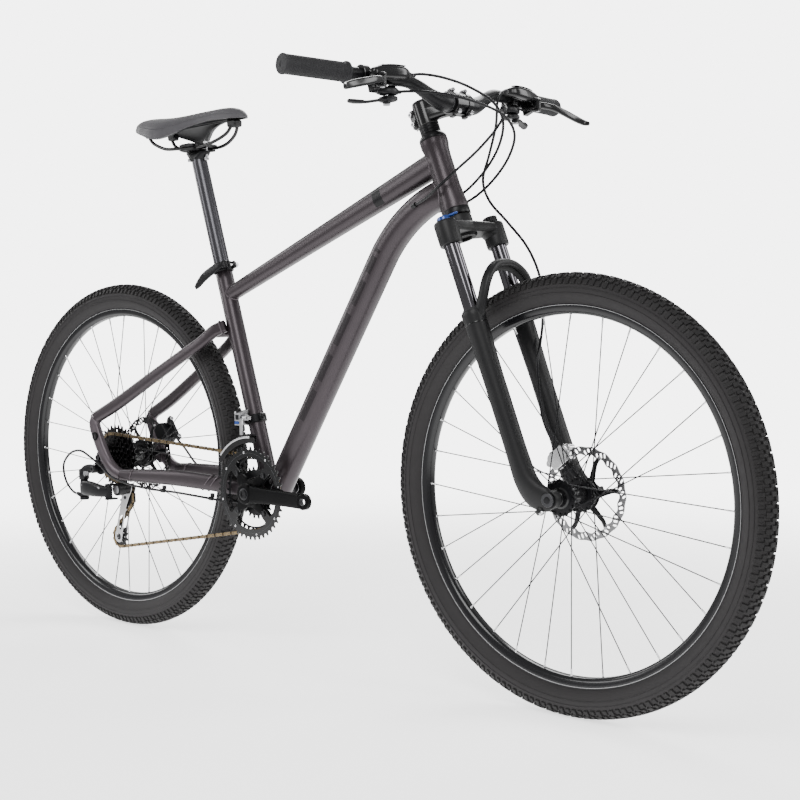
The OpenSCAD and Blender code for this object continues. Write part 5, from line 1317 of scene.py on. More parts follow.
def make_shifters():
    """Shifter housings and the two thumb levers."""
    band = on_bar(172, revolve([(11.2, 0), (14.4, 0), (15, 0.8), (15, 11.2), (14.4, 12), (11.2, 12)],
                               "plastic", n=44, closed=True),
                  bolt((12, 6, 9), (0.6, 0, 0.8), 3, 2, "steel"))
    body = sweep([[330, 150, 1042, 8, 5.6], [333, 157, 1041.4, 11.4, 7.4], [334, 165, 1041, 13, 8],
                  [333, 175, 1040.4, 12.6, 7.6], [331, 184, 1040, 10, 6], [329, 191, 1040, 5.6, 3.8]],
                 "plastic", 28, 8, side=X, power=2.8)
    cap = revolve([(15.5, -1.2), (16.2, 0), (16.2, 3.8), (15, 5), (7, 5.4), (6.6, 4.8), (0, 4.8)],
                  "plastic", (334, 168, 1029.5), (0.08, 0, -1), 40)
    disc = bolt((334.4, 168, 1024.8), (0.08, 0, -1), 4.4, 1.4, "steel")
    stalk = [rod(SHIFT_PIVOT - [0, 0, 16], SHIFT_PIVOT + [0, 0, 6], 2.4, "steel", 18),
             revolve([(5.4, -18), (6, -17.2), (6, -15.4), (5.4, -15)], "steel", SHIFT_PIVOT, Z, 24)]
    window = sweep([[344, 158, 1049, 3.6, 0.8], [344.6, 166, 1049, 4.2, 0.8], [343.6, 176, 1048, 3.6, 0.8]],
                   "gloss_black", 16, 6, side=X, power=4, ends="round")
    barrel = [revolve([(4.2, 0), (5.2, 1), (5.2, 8), (4.4, 9), (3.4, 10), (3.4, 14), (2.7, 15)], "plastic",
                      (331, 152, 1042), unit([0.35, -1, 0.02]), 16)]
    piece("shifter_housings", "steering",
          [both(band, body, cap, disc, window, *stalk, *barrel)], ["shifter_bodies"])
    arm = sweep([[0, 0, 0, 6, 3], [-4, 14, 0, 6, 2.5], [-12, 36, -4, 6, 2.5], [-20, 50, -4, 6.6, 2.8]],
                "plastic", 20, 8, side=X, power=3)
    pad = sweep([[-16, 42, -4, 7.4, 3.2], [-22, 54, -4, 9, 3.6], [-26.6, 61.6, -3.2, 7.6, 3.2]], "plastic",
                24, 8, side=X, power=2.8, ends="round")
    hubcap = revolve([(6.4, -4.5), (7, -3.9), (7, 3.9), (6.4, 4.5), (2.7, 4.5)], "plastic", ORIGIN, Z, 28)
    tip = revolve([(6.4, 0), (7.2, 0.8), (7.2, 1.8), (6.2, 2.4), (0, 2.4)], "grey_panel",
                  (-25.5, 60.5, -3.4), unit([-0.5, 0.8, 0.1]), 28)
    right = flipped(placed(joined([arm, pad, hubcap]), SHIFT_PIVOT - [0, 0, 10]))
    left = placed(joined([arm, pad, hubcap, tip]), SHIFT_PIVOT - [0, 0, 10])
    for side, shape in (("left", left), ("right", right)):
        piece(f"{side}_thumb_lever", f"{side}_shift_lever", [shape],
              [f"{side}_shift_lever"])


make_stem()
make_headset()
make_bar()
make_brake_levers()
make_shifters()


# ---------- Brakes ----------
def radial(axle, angle, *shapes):
    """From x out along the radius at angle, y left, z across it."""
    return placed(joined(shapes), axle, (c(angle), 0, s(angle)), Y, (-s(angle), 0, c(angle)))


def caliper_half(y0, y1, r0, r1, name):
    """One half of a caliper, between two radii from the axle."""
    outline = [(r0, -15), (r0 + 4, -21), (r1 - 10, -23.5), (r1 - 2, -19), (r1, -10), (r1, 10), (r1 - 2, 19),
               (r1 - 10, 23.5), (r0 + 4, 21), (r0, 15)]
    return plate([smooth_loop(outline)], y0, y1, name, 1.4)


def caliper_body(y, r0, r1, depth, saddle, ends, name):
    """Two halves round the rotor at y and the bridges over it; saddle and ends are radius, offset, size."""
    (r, off, size), (end_r, end_off, end_z, end_size) = saddle, ends
    return [caliper_half(y - 13.6, y - 1.8, r0, r1, name),
            caliper_half(y + 1.8, y + depth, r0, r1, name), block((r, y + off, 0), size, name, 2.4),
            *[block((end_r, y + end_off, z), end_size, name, 2) for z in (end_z, -end_z)]]


def make_calipers():
    """Front caliper with posts and hose fitting, and rear caliper with its mount."""
    y = FRONT_ROTOR_Y
    shapes = caliper_body(y, 61, 90.5, 7.0, (86.5, -2, (9, 17.5, 38)), (81.5, -2.5, 16, (10, 16.5, 9)),
                          "bright_alloy")
    shapes += [revolve([(10.5, y + 6.6), (10.5, y + 7.1), (8.5, y + 7.4), (0, y + 7.4)],
                       "steel", (74, 0, 0), Y, 36),
               revolve([(6, y + 7.2), (6, y + 7.6), (5, y + 7.7), (2.8, y + 7.7)],
                       "dark_steel", (74, 0, 0), Y, 6),
               block((76, y, 0), (14, 3.0, 22), "bronze", 0.4),
               rod((88, y - 6, -14), (88, y - 6, 14), 1.4, "steel", 12)]
    shapes += [bolt((74, y + 6.9, z), Y, 3.0, 0.5, "dark_steel") for z in (-17, 17)]
    shapes += [bolt((92, y - 4, z), X, 4.4, 1.6, "black_alloy") for z in (13, -13)]
    banjo = [ring((91, y - 7.5, 0), (95, y - 7.5, 0), 0.5, 5.6, "black_alloy", 28, 0.6),
             bolt((95, y - 7.5, 0), X, 4.2, 3.0, "black_alloy")]
    posts = [slabs(Y, "bright_alloy",
                   ((78, 0, 24 * k), 5.5, y - 12, y + 5, 20), ((84, 0, 14 * k), 5.5, y - 12, y + 5, 20))
             for k in (-1, 1)]
    piece("front_caliper_machined", "fork_slider",
          [radial(FRONT, FRONT_CALIPER_ANGLE, *shapes, *banjo, *posts)], ["front_caliper"])
    y = REAR_ROTOR_Y
    shapes = caliper_body(y, 63, 94.5, 11.6, (89.5, -0.5, (10, 23, 40)), (84, -0.5, 17, (12, 22, 8)),
                          "black_alloy")
    shapes += [revolve([(11, y + 11.2), (11, y + 11.9), (9, y + 12.2), (0, y + 12.2)], "dark_steel",
                       (76, 0, 0), Y, 36), block((77, y, 0), (14, 3.0, 22), "bronze", 0.4)]
    for k in (-1, 1):
        shapes.append(slabs(X, "black_alloy", ((101, 62, 24 * k), 5.6, -4, 4, 20),
                            ((101, 56, 13 * k), 6.5, -6, 2, 20)))
        shapes.append(bolt((104.6, 62, 22 * k), X, 4.4, 3, "steel"))
    shapes.append(block((101, 62, 0), (7.6, 8, 44), "black_alloy", 1.4))
    piece("rear_caliper_cast", "frame", [radial(REAR, REAR_CALIPER_ANGLE, *shapes)],
          ["rear_caliper"])


make_calipers()


# ---------- Drivetrain ----------
PITCH, LINKS = 12.7, 118


def pitch_r(teeth):
    """Radius of the chain's pins on a wheel."""
    return teeth * PITCH / TAU


def tooth_outline(teeth, phase):
    """Toothed edge with round roller seats, one seat centred on phase."""
    r = pitch_r(teeth)
    shape = [(-5.3, 2.6), (-4.3, 0.6), (-3.5, -2.0), (-2.3, -3.35), (0, -4.0), (2.3, -3.35), (3.5, -2.0),
             (4.3, 0.6), (5.3, 2.6)]
    angles = [phase + 360 * k / teeth for k in range(teeth)]
    return np.array([((r + h) * c(a) - x * s(a), (r + h) * s(a) + x * c(a)) for a in angles
                     for x, h in shape])


GUIDE = joint_at("guide_pulley_spin")
TENSION = joint_at("tension_pulley_spin")
RING_Y = {"big": -57.5, "middle": -50.0, "small": -42.5}
CHAIN_Y = -38.5
STOPS = [((REAR[0], REAR[2]), pitch_r(24), -1, CHAIN_Y),
         ((BB[0], BB[2]), pitch_r(36), -1, RING_Y["middle"]),
         ((TENSION[0], TENSION[2]), pitch_r(11), -1, CHAIN_Y),
         ((GUIDE[0], GUIDE[2]), pitch_r(11), 1, CHAIN_Y)]
IN_LINE = 36.0


class ChainPath:
    """Endless belt round the four stops, laid out as the CAD lays it."""

    def __init__(self):
        self.heading, self.run = [], []
        for i in range(4):
            a, b = STOPS[i], STOPS[(i + 1) % 4]
            d = np.subtract(b[0], a[0])
            k = a[1] * a[2] - b[1] * b[2]
            span = math.hypot(*d)
            self.heading.append(math.degrees(math.atan2(d[1], d[0])) + math.degrees(math.asin(k / span)))
            self.run.append(math.sqrt(span * span - k * k))
        self.wrap = []
        for i, (_, r, sense, _) in enumerate(STOPS):
            turn = (sense * (self.heading[i] - self.heading[i - 1])) % 360
            self.wrap.append(math.radians(turn) * r)
        self.leave = [0.0]
        for i in range(1, 4):
            self.leave.append(self.leave[-1] + self.run[i - 1] + self.wrap[i])
        self.length = self.leave[3] + self.run[3] + self.wrap[0]
        self.link = self.length / LINKS

    def contact(self, i, heading):
        return heading - 90 * STOPS[i][2]

    def at(self, distance):
        q = distance % self.length
        i = max(k for k in range(4) if q >= self.leave[k])
        j = (i + 1) % 4
        a, b, h, into = STOPS[i], STOPS[j], self.heading[i], q - self.leave[i]
        if into <= self.run[i]:
            start = self.contact(i, h)
            u = min(max((into - IN_LINE) / max(self.run[i] - 2 * IN_LINE, 1), 0), 1)
            return np.array([a[0][0] + a[1] * c(start) + into * c(h), a[3] + (b[3] - a[3]) * u,
                             a[0][1] + a[1] * s(start) + into * s(h)])
        g = self.contact(j, h) + math.degrees(b[2] * (into - self.run[i]) / b[1])
        return np.array([b[0][0] + b[1] * c(g), b[3], b[0][1] + b[1] * s(g)])

    def phase(self, i):
        """Angle of a roller on stop i."""
        if i == 0:
            return self.contact(0, self.heading[0])
        start = self.leave[i] - self.wrap[i]
        first = math.ceil(start / self.link) * self.link
        _, r, sense, _ = STOPS[i]
        return self.contact(i, self.heading[i - 1]) + math.degrees(sense * (first - start) / r)


BELT = ChainPath()


def link_plate(a, b, y0, y1, name):
    """Waisted link plate between pins a and b."""
    d = b - a
    length = math.hypot(d[0], d[2])
    ahead = np.array([d[0], 0, d[2]]) / length
    loop = []
    for k, x0 in enumerate((0, length)):
        for t in np.linspace(125, 235, 7) if k == 0 else np.linspace(-55, 55, 7):
            loop.append((x0 + 4.1 * c(t), 4.1 * s(t)))
        if k == 0:
            loop.append((length / 2, -2.7))
    loop.append((length / 2, 2.7))
    made = plate([loop], y0, y1, name, 0.15)
    lean = unit(np.array([ahead[0], d[1] / length, ahead[2]]))
    up = np.array([-ahead[2], 0, ahead[0]])
    return placed(made, a, lean, Y, up)


def make_chain():
    """118 links with pins and rollers along the belt."""
    pins = [BELT.at(k * BELT.link) for k in range(LINKS)]
    roller = revolve([(3.5, -1.2), (3.8, -0.9), (3.8, 0.9), (3.5, 1.2)], "dark_steel", n=16)
    pin_a = revolve([(1.2, -3.3), (1.6, -3.15), (1.6, 3.15), (1.2, 3.3)], "dark_steel", n=10)
    parts = []
    for k, p in enumerate(pins):
        q = pins[(k + 1) % LINKS]
        inner = k % 2 == 0
        y0, y1 = (1.35, 2.2) if inner else (2.3, 3.15)
        tone = "bronze_dark" if inner else "bronze"
        parts.append(link_plate(p, q, y0, y1, tone))
        parts.append(link_plate(p, q, -y1, -y0, tone))
        parts.append(placed(roller, p))
        parts.append(placed(pin_a, p))
    piece("chain_118_links", "frame", parts, ["chain"])


COGS = [32, 28, 24, 21, 18, 15, 13, 11]


def make_cassette():
    """Eight cogs with carrier arms, spacers and lockring."""
    parts = []
    for i, teeth in enumerate(COGS):
        y = CHAIN_Y - (i - 2) * 4.8
        phase = BELT.phase(0) if i == 2 else 7.0 * i
        r = pitch_r(teeth)
        loops = [tooth_outline(teeth, phase),
                 circle((0, 0), 17.2 if i > 3 else 30 if i == 3 else 26 + 4 * (2 - i), 48)]
        if i < 3:
            for k in range(teeth // 4):
                a = 360 / (teeth // 4) * k + 5 * i
                loops.append(circle(polar(r - 9.6, a), 2.6, 14))
        parts.append(plate(loops, y - 0.92, y + 0.92, "cog_steel", 0.2))
        if i <= 3:
            for k in range(5):
                a = 72 * k + 12 * i
                inner = 17.5
                outer = (26 + 4 * (2 - i) if i < 3 else 30) + 2.5
                rows = [[*wheel_point(inner, a, y), 0.9, 4.2],
                        [*wheel_point((inner + outer) / 2, a + 3, y), 0.85, 2.8],
                        [*wheel_point(outer, a + 4, y), 0.85, 4.6]]
                parts.append(sweep(rows, "black_alloy", 12, 4, power=4))
        if i < 7:
            parts.append(ring((0, y - 3.9, 0), (0, y - 0.95, 0), 14.2, 18.4, "dark_steel", 40, 0.3))
    parts.append(revolve([(13, -27.2), (17, -27.2), (17, -62.6), (13, -62.6)], "dark_steel",
                         n=48, closed=True))
    splines = [polar(10.2 if k % 4 < 2 else 8.8, 7.5 * k) for k in range(48)]
    parts.append(plate([circle((0, 0), 15.8, 48), splines], -64.4, -62.4, "black_alloy", 0.4))
    piece("cassette_eight_speed", "cassette", [placed(joined(parts), REAR)], ["cassette"])


def chainring(teeth, y, phase, inner, bolts, tab, name, ramps):
    """Ring with four inward bolt tabs and machined relief on its face."""
    loop = []
    for k in range(4):
        m = 45 + 90 * k
        half = math.degrees(math.asin(min(0.9, tab / inner)))
        loop += [polar(inner, a) for a in np.linspace(m - 90 + half + 6, m - half - 6, 16)]
        loop += [polar(inner - 3.5, m - half)]
        reach = math.degrees(math.asin(tab / (bolts + 2)))
        loop += [polar(bolts + 2, m - reach)]
        for a in np.linspace(-60, 60, 7):
            q = np.array([bolts - (tab - 0.2) * c(a), (tab - 0.2) * s(a)])
            loop.append((q[0] * c(m) - q[1] * s(m), q[0] * s(m) + q[1] * c(m)))
        loop += [polar(bolts + 2, m + reach)]
        loop += [polar(inner - 3.5, m + half)]
    hole = [circle(polar(bolts, 45 + 90 * k), 4.0 if bolts > 40 else 3.0, 20) for k in range(4)]
    parts = [plate([tooth_outline(teeth, phase), np.array(loop)] + hole, y - 1, y + 1, name, 0.3)]
    for k in range(ramps):
        a = 360 / ramps * k + 12
        r = pitch_r(teeth) - 8.5
        parts.append(revolve([(2.3, y - 1.0), (2.3, y - 1.3), (1.8, y - 1.5), (0, y - 1.5)], "steel",
                             wheel_point(r, a, 0), Y, 14))
    return joined(parts)


def make_chainrings():
    """Three chainrings, their bolts and a bright line on the large one."""
    parts = [chainring(44, RING_Y["big"], 3.0, 71, 52, 9, "gloss_black", 8),
             chainring(36, RING_Y["middle"], BELT.phase(1), 66, 52, 9, "black_alloy", 0),
             chainring(24, RING_Y["small"], 0.0, 30.5, 32, 5.5, "black_alloy", 0)]
    parts.append(ring((0, -58.7, 0), (0, -58.45, 0), 78.0, 79.0, "dark_steel", 120, 0.1))
    for k in range(4):
        m = np.array(wheel_point(52, 45 + 90 * k, 0))
        nut = revolve([(3.9, -48.9), (6, -48.9), (6, -48), (5, -47.5), (3.9, -47.5)], "steel", m, Y, 24)
        parts += [rod(m + [0, -60, 0], m + [0, -48, 0], 3.9, "dark_steel", 20),
                  bolt(m + [0, -59.0, 0], (0, -1, 0), 5.6, 1.8, "black_alloy"), nut]
        m = np.array(wheel_point(32, 45 + 90 * k, 0))
        parts += [rod(m + [0, -50.8, 0], m + [0, -41, 0], 2.9, "steel", 16),
                  ring(m + [0, -51.1, 0], m + [0, -43.6, 0], 2.95, 4.8, "steel", 20),
                  bolt(m + [0, -41.2, 0], Y, 4.4, 1.6, "steel")]
    for k in range(4):
        a = 90 * k
        parts.append(sweep([[*wheel_point(73, a + t, -56.4), 0.8, 0.8] for t in (-20, -10, 0, 10, 20)],
                           "dark_steel", 8, 3))
    piece("chainring_set", "crankset", [placed(joined(parts), BB)], ["chainrings"])


def crank_arm():
    """Straight forged arm with a raised boss and a threaded eye."""
    rows = [[16, -69.5, 0, 6.6, 17.5], [30, -70, 0, 6.9, 16.2], [52, -71.4, 0, 6.7, 15.2],
            [80, -74, 0, 6.4, 14.6], [120, -78, 0, 6, 14.2], [150, -81.6, 0, 6.2, 14.2],
            [163, -83.4, 0, 6.4, 14.4]]
    arm = sweep(rows, "satin_black", 36, 8, power=4.5)
    eye = plate([circle((175, 0), 15, 56), circle((175, 0), 7.2, 40)], -91.6, -78.4, "satin_black", 1.8)
    thread = [ring((175, -90.8 + 1.25 * k, 0), (175, -90.2 + 1.25 * k, 0), 7.15, 7.5, "dark_steel", 32, 0.1)
              for k in range(9)]
    hub_boss = revolve([(12.3, -76.8), (16.5, -76.8), (19.2, -75), (20, -72), (20, -64), (19, -62.2),
                        (12.3, -62.2)], "satin_black", ORIGIN, Y, 64, True)
    return [arm, eye, hub_boss] + thread


def spider():
    """Four broad black arms that spread from the boss to the ring bolts."""
    parts = [revolve([(12.2, -61.6), (24, -61.6), (27.4, -59), (28, -56), (28, -51.3), (12.2, -51.3)],
                     "satin_black", ORIGIN, Y, 64, True)]
    for k in range(4):
        a = 45 + 90 * k
        arm = slabs(Y, "satin_black", ((20, 0, 0), 14.5, -61.4, -52, 24, 1.5),
                    ((38, 0, 0), 10.5, -60.2, -52.4, 24, 1.5))
        tip = slabs(Y, "satin_black", ((36, 0, 0), 10.5, -57.8, -51.6, 24, 1),
                    ((50, 0, 0), 9.6, -56.3, -51.4, 24, 0.8))
        parts += [turned(arm, -a), turned(tip, -a)]
    return parts


def make_cranks():
    """Both cranks, the axle and the bottom bracket cups."""
    axle_end = revolve([(0, -77.2), (8, -77.2), (8.4, -76.6), (11.8, -76.6), (12, -76), (12, 60), (11, 62),
                        (0, 62)], "dark_steel", ORIGIN, Y, 48)
    cap = revolve([(9.6, -76.6), (9.6, -78.2), (8.8, -78.8), (5.2, -78.8), (4.8, -77.4), (0, -77.4)],
                  "black_alloy", ORIGIN, Y, 8)
    web = slabs(Y, "satin_black", ((10, 0, 0), 16, -63, -61.2, 24, 0.5),
                ((44, 0, 0), 9, -65, -61.2, 20, 0.5))
    piece("right_crank_forged", "crankset",
          [placed(joined(crank_arm() + spider() + [axle_end, cap, web]), BB)], ["right_crank"])
    left = turned(flipped(joined(crank_arm())), 180)
    nut = revolve([(6.5, 76.6), (9.6, 76.8), (9.6, 78), (8.6, 78.6), (5, 78.6), (4.6, 77.6), (0, 77.6)],
                  "black_alloy", ORIGIN, Y, 36)
    sleeve = ring((0, 62.2, 0), (0, 76.6, 0), 9, 12.2, "steel", 40, 0.3)
    piece("left_crank_forged", "crankset", [placed(joined([left, nut, sleeve]), BB)],
          ["left_crank"])
    cup = []
    for k in (-1, 1):
        loop = [polar(20.4 if a % 22.5 > 8 else 19.4, a) for a in np.linspace(0, 360, 160, endpoint=False)]
        y0, y1 = (36.7, 40) if k > 0 else (-40, -36.7)
        cup.append(plate([np.array(loop), circle((0, 0), 12.2, 48)], y0, y1, "black_alloy", 0.4))
        cup.append(ring((0, 14 * k, 0), (0, 36.6 * k, 0), 12.2, 17, "black_alloy", 48))
        cup.append(ring((0, 40 * k, 0), (0, 40.6 * k, 0), 12.3, 16.5, "dark_steel", 40, 0.15))
    piece("bottom_bracket_cups", "frame", [placed(joined(cup), BB)], ["bottom_bracket"])


make_chain()
make_cassette()
make_chainrings()
make_cranks()


# ---------- Derailleurs ----------
BRACKET = np.array([-624.0, -88, 322])
KNUCKLE = np.array([-540.0, -88, 300])
CAGE = joint_at("cage_swing") * [1, 0, 1] + [0, CHAIN_Y, 0]


def make_rear_derailleur():
    """Bracket, parallelogram, knuckle, cage and both pulleys."""
    eye = [revolve([(5, -78.2), (9, -78.2), (9, -91), (8, -92), (4.5, -92)],
                   "black_alloy", (-590, 0, 346), Y, 40, True),
           bolt((-590, -91.2, 346), (0, -1, 0), 6.2, 2.4, "dark_steel"),
           rod((-590, -91, 346), (-590, -78.3, 346), 5, "steel", 24),
           sweep([[-588, -87, 345, 5.0, 8], [-602, -87.5, 346, 5.4, 9.5], [-616, -88, 343, 6.4, 10],
                  [-624, -88, 338, 8, 9]], "black_alloy", 28, 8, power=2.8),
           revolve([(3.2, 322.3), (10.4, 322.3), (11, 323.2), (11, 342), (9.6, 344), (0, 344)],
                   "black_alloy", (BRACKET[0], BRACKET[1], 0), Z, 44),
           rod((*BRACKET[:2], 281), (*BRACKET[:2], 331), 2.9, "steel", 18),
           revolve([(3, 285), (10, 284.6), (10, 279), (9, 278), (0, 278)],
                   "black_alloy", (BRACKET[0], BRACKET[1], 0), Z, 40),
           block((-611, -94, 336), (20, 4, 9), "grey_panel", 1.4),
           bolt((-603, -96, 333), (0, -1, 0), 2, 1.6, "steel"),
           bolt((-611, -96, 331.5), (0, -1, 0), 2, 1.6, "steel"),
           revolve([(2.8, 0), (4.4, 0.6), (4.4, 8), (3.4, 9), (3.4, 12)], "black_alloy", (-634, -90, 287),
                   unit([-1, -0.03, 0.28]), 14)]
    piece("derailleur_mounting_bracket", "frame", eye, ["derailleur_bracket"])
    link_rows = [[-627, -90, 304, 6, 14.5], [-612, -93.5, 304.4, 7.6, 16], [-590, -95, 304, 8, 15.6],
                 [-566, -95, 302.4, 7.4, 13.6], [-540, -91, 301, 5.6, 11]]
    outer = sweep(link_rows, "black_alloy", 32, 8, power=3.4, ends="round")
    inner = sweep([[-622, -84, 303, 2.6, 9.5], [-580, -82, 302.5, 2.6, 9], [-542, -84.5, 300.6, 2.6, 9]],
                  "black_alloy", 20, 6, power=3.4)
    stripe = sweep([[-618, -99.2, 310.5, 0.8, 1.9], [-600, -101.2, 311.6, 0.9, 2.4],
                    [-578, -101.9, 311, 0.9, 2.3], [-556, -100.2, 308.6, 0.8, 1.8]],
                   "grey_panel", 16, 6, power=3, ends="round")
    pocket = sweep([[-608, -100.9, 301, 0.5, 2.6], [-586, -101.7, 300.6, 0.5, 3.2],
                    [-564, -100.8, 299.6, 0.5, 2.4]], "graphic", 16, 6, power=3, ends="round")
    barrels = [ring((*BRACKET[:2], 285.4), (*BRACKET[:2], 321.6), 3.1, 8.4, "black_alloy", 36, 0.8),
               ring((*KNUCKLE[:2], 288.4), (*KNUCKLE[:2], 312.5), 3.1, 7.9, "black_alloy", 36, 0.8)]
    piece("derailleur_parallelogram", "derailleur_link",
          [outer, inner, stripe, pocket] + barrels, ["derailleur_link"])
    x, z = CAGE[0], CAGE[2]
    knuckle = [revolve([(5.2, -58.2), (12.6, -58.2), (13.5, -59.2), (13.5, -75), (12.4, -76), (0, -76)],
                       "black_alloy", (x, 0, z), Y, 52),
               revolve([(9.6, -75.8), (9.6, -77), (8.6, -77.6), (0, -77.6)],
                       "grey_panel", (x, 0, z), Y, 40),
               hull(np.vstack([disc_points((*KNUCKLE[:2], 0), Z, 8, 284, 288, 24),
                               [[x - 9, -76, 285], [x + 3, -76, 285], [x - 9, -74, 288], [x + 4, -74, 288],
                                [x - 9, -74, 284.4], [x + 3, -74, 284.4]]]), "black_alloy"),
               hull(np.vstack([disc_points((*KNUCKLE[:2], 0), Z, 8, 313.5, 317.4, 24),
                               [[x - 9, -76, 314], [x + 6, -76, 314], [x - 9, -74, 317], [x + 4, -74, 317],
                                [x - 9, -74, 313.6], [x + 4, -74, 313.6]]]), "black_alloy"),
               rod((*KNUCKLE[:2], 284), (*KNUCKLE[:2], 317.5), 2.9, "steel", 18),
               bolt((*KNUCKLE[:2], 317.2), Z, 4.4, 0.8, "steel")]
    piece("derailleur_lower_knuckle", "derailleur_knuckle", knuckle, ["derailleur_knuckle"])
    cage = []
    guide, tension = (GUIDE[0], GUIDE[2]), (TENSION[0], TENSION[2])
    out_line = [(-528, 317), (-518, 308), (-521, 296), (-530, 280), (-540, 258), (-547, 230), (-551, 210),
                (-553.5, 197), (-556, 189), (-563, 185.5), (-571, 187), (-576.5, 194), (-576, 204),
                (-571, 216), (-567, 232), (-560, 256), (-553, 282), (-548, 298), (-539, 313)]
    window = smooth_loop([(-551, 246), (-548, 238), (-553, 222), (-557, 214), (-563, 216),
                          (-563, 228), (-558, 242)])
    eye_hole = circle(tension, 7.0, 28)
    cage.append(plate([smooth_loop(out_line, 5), window, eye_hole], CHAIN_Y - 6.6, CHAIN_Y - 5.1,
                      "steel", 0.35))
    inner_line = [(-528, 315), (-519, 308), (-522, 296), (-533, 270), (-545, 232), (-553, 198), (-557, 190),
                  (-565, 187), (-573, 191), (-575, 199), (-567, 236), (-554, 280), (-546, 300), (-538, 312)]
    cage.append(plate([smooth_loop(inner_line, 5), eye_hole, window], CHAIN_Y + 5.1, CHAIN_Y + 6.6,
                      "steel", 0.35))
    cage += [rod((x, -69, z), (x, CHAIN_Y - 5, z), 4.9, "steel", 28),
             revolve([(5, -57.6), (11.5, -57.4), (12.4, -56.4), (12.4, -46), (5, -46)], "black_alloy",
                     (x, 0, z), Y, 44)]
    for p in (guide, tension):
        cage += [rod((p[0], CHAIN_Y - 6, p[1]), (p[0], CHAIN_Y + 6, p[1]), 2.4, "steel", 16),
                 bolt((p[0], CHAIN_Y - 6.4, p[1]), (0, -1, 0), 4, 1.2, "dark_steel"),
                 bolt((p[0], CHAIN_Y + 6.4, p[1]), Y, 4, 1.0, "dark_steel")]
    cage.append(rod((-548, CHAIN_Y - 5.6, 251), (-548, CHAIN_Y + 5.6, 251), 2.2, "steel", 16))
    piece("derailleur_cage_plates", "derailleur_cage", cage, ["derailleur_cage"])
    for name, at, i in (("guide", GUIDE, 3), ("tension", TENSION, 2)):
        loops = [tooth_outline(11, BELT.phase(i)), circle((0, 0), 5.2, 28)]
        if i == 2:
            loops += [slot_loop(polar(11.2, 40 * k), 40 * k, 1.9, 1.6) for k in range(9)]
        wheel = [plate(loops, -1.6, 1.6, "plastic", 0.5),
                 ring((0, -4.2, 0), (0, 4.2, 0), 2.6, 7.6, "dark_steel", 36, 0.4)]
        piece(f"{name}_pulley_toothed", f"{name}_pulley",
              [placed(joined(wheel), at * [1, 0, 1] + [0, CHAIN_Y, 0])], [f"{name}_pulley"])


def make_front_derailleur():
    """Clamp and body, and the cage's two plates."""
    hinge = np.array([-168.0, -34, 470])
    band = on_seat_tube(ring((0, 0, 138), (0, 0, 154), SEAT_R + 0.1, 21.3, "black_alloy", 60, 1.0),
                        block((0, -24, 146), (12, 8, 14), "black_alloy", 1.5),
                        block((23, -6, 146), (8, 12, 13), "black_alloy", 1.5),
                        bolt((27, -6, 146), X, 4.2, 3.4, "black_alloy"))
    body = [hull([[xx, yy, zz] for xx, yy, zz in ((-191, -43.5, 455), (-191, -20, 455), (-177, -20, 455),
                                                  (-177, -43.5, 455), (-191, -43.5, 478), (-191, -20, 484),
                                                  (-177, -20, 486), (-177, -43.5, 480))], "steel"),
            block((-184, -44.2, 471), (8, 1.4, 10), "graphic", 0.4),
            block((-184, -44.4, 460.5), (12, 1.4, 6), "blue", 0.3),
            rod(hinge + [-9, 0, 0], hinge + [10, 0, 0], 2.4, "steel", 20),
            bolt(hinge + [9.6, 0, 0], X, 3.4, 1.0, "steel"),
            bolt((-189, -43.4, 480), (0, -1, 0), 2.4, 1.4, "steel")]
    piece("front_derailleur_body", "frame", [band] + body, ["front_derailleur"])

    def band_loop(r0, r1, a0, a1, lift=0.0):
        t = np.linspace(a0, a1, 26)
        q = (t - a0) / (a1 - a0)
        ease = np.sin(np.pi * q) ** 0.5
        top = [polar(r1 - lift * (1 - e), a) for a, e in zip(t, ease)]
        bottom = [polar(r0 + 0.8 * (1 - e), a) for a, e in zip(t[::-1], ease[::-1])]
        return np.array(top + bottom)

    m = BB * [1, 0, 1]
    parts = [placed(plate([band_loop(97.8, 111.8, 82, 146, 4)], -58.5, -57.3, "cog_steel", 0.3), m),
             placed(plate([band_loop(97.8, 117.6, 88, 146, 6)], -43.3, -42.1, "cog_steel", 0.3), m)]
    for r0, r1, a0, a1 in ((112, 113.4, 88, 104), (110, 111.9, 141, 146)):
        t = np.linspace(a0, a1, 10)
        loop = [polar(r1, a) for a in t] + [polar(r0, a) for a in t[::-1]]
        parts.append(placed(plate([loop], -58, -42.6, "cog_steel", 0.25), m))
    ridge = [[m[0] + 109.6 * c(a), -58.9, m[2] + 109.6 * s(a), 0.5, 1.9] for a in np.linspace(90, 140, 10)]
    parts.append(sweep(ridge, "steel", 10, 3, ends="round"))
    parts += [block((-171, -44.5, 451), (8.6, 2.8, 29), "steel", 0.8),
              block((-171, -40, 466.5), (8.6, 11, 4.6), "steel", 1.0),
              ring(hinge + [-7.4, 0, 0], hinge + [4, 0, 0], 2.6, 5.9, "steel", 30, 0.5)]
    piece("front_derailleur_plates", "front_derailleur_cage", parts,
          ["front_derailleur_cage"])


make_rear_derailleur()
make_front_derailleur()


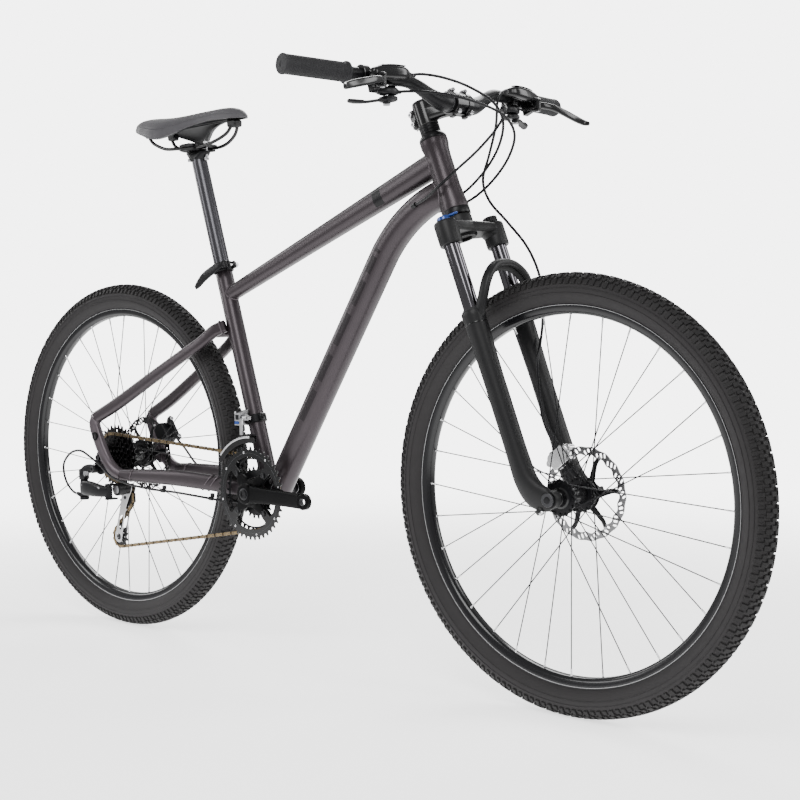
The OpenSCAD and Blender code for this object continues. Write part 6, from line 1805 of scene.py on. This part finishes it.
# ---------- Cables and hoses ----------
CABLE_R = 2.45
REAR_BRAKE = [[352, -133, 1069], [362, -110, 1072], [378, -72, 1068], [394, -26, 1056], [408, 20, 1034],
              [406, 50, 1004], [390, 60, 966], [366, 56, 928], [334, 46, 894], [304, 36, 874],
              [276, 27, 864]]
REAR_SHIFT = [[330, -148, 1042], [352, -118, 1044], [384, -78, 1040], [408, -30, 1030], [424, 26, 1012],
              [420, 64, 984], [400, 76, 948], [372, 70, 910], [338, 56, 878], [302, 40, 860],
              [268, 27, 853]]
FRONT_SHIFT = [[330, 148, 1042], [352, 120, 1046], [384, 88, 1030], [396, 46, 994], [386, 6, 954],
               [362, -20, 922], [332, -34, 894], [300, -33, 874], [270, -27, 864]]
FRONT_BRAKE = [[352, 133, 1069], [358, 112, 1066], [368, 84, 1044], [378, 66, 1000], [374, 52, 950],
               [366, 44, 905], [376, 50, 868], [402, 66, 832], [430, 84, 790], [448, 94, 745],
               [460, 90, 700], [470, 76, 655], [480, 56, 622], [484, 42, 590], [488, 40.5, 540],
               [494, 40, 500], [504, 40, 474], [514, 40, 458]]
REAR_SHIFT_END = [[-160, -24, 300], [-236, -42, 302], [-282, -56, 307], [-350, -66, 312], [-412, -78, 315],
                  [-470, -88, 322], [-520, -94, 334], [-556, -96, 356], [-590, -97, 373], [-625, -96, 384],
                  [-662, -95, 376], [-688, -94, 350], [-684, -92, 316], [-662, -91, 294], [-640, -90, 288]]
REAR_BRAKE_END = [[-160, 24, 300], [-240, 44, 308], [-330, 64, 314], [-420, 84, 330], [-470, 92, 352],
                  [-498, 88, 382], [-506, 74, 402]]


def make_cables():
    """Hoses from the bar, and fixed ends with clips."""
    for name, route in (("rear_brake_hose", REAR_BRAKE), ("rear_shift_housing", REAR_SHIFT),
                        ("front_shift_housing", FRONT_SHIFT)):
        hose = piece(f"{name}_front", None, [tube(route, CABLE_R, "cable", 14, 10)],
                     ["control_cables"])
        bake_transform(hose)
    hose = piece("front_brake_hose", None, [tube(FRONT_BRAKE, CABLE_R, "cable", 14, 10)],
                 ["control_cables"])
    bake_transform(hose)
    ends = [tube(REAR_SHIFT_END, CABLE_R, "cable", 14, 10), tube(REAR_BRAKE_END, CABLE_R, "cable", 14, 10)]
    for route, k, side in ((REAR_SHIFT_END, 3, 4), (REAR_SHIFT_END, 1, 4), (REAR_BRAKE_END, 2, -4),
                           (REAR_BRAKE_END, 1, -4)):
        p, q = np.array(route[k:k + 2], float)
        mid, lean = (p + q) / 2, unit(q - p)
        ends += [ring(mid - 5 * lean, mid + 5 * lean, 2.5, 4.0, "plastic", 20, 0.6),
                 block(mid + [0, side, 6], (9, 6, 9), "plastic", 1.2)]
    a, b = np.array(REAR_SHIFT_END[-2:], float)
    ends.append(revolve([(2.5, 0), (3.3, 0.5), (3.3, 9), (2.6, 10)], "steel",
                        b - 8 * unit(b - a), b - a, 18))
    piece("rear_cable_ends", "frame", ends, ["control_cables"])
    ports = []
    for route in (REAR_BRAKE, REAR_SHIFT, FRONT_SHIFT):
        a, b = np.array(route[-2:], float)
        ports.append(ring(b - 2 * unit(b - a), b + 8 * unit(b - a), 2.55, 4.6, "plastic", 24, 0.8))
    piece("cable_port_grommets", "frame", ports)


make_cables()
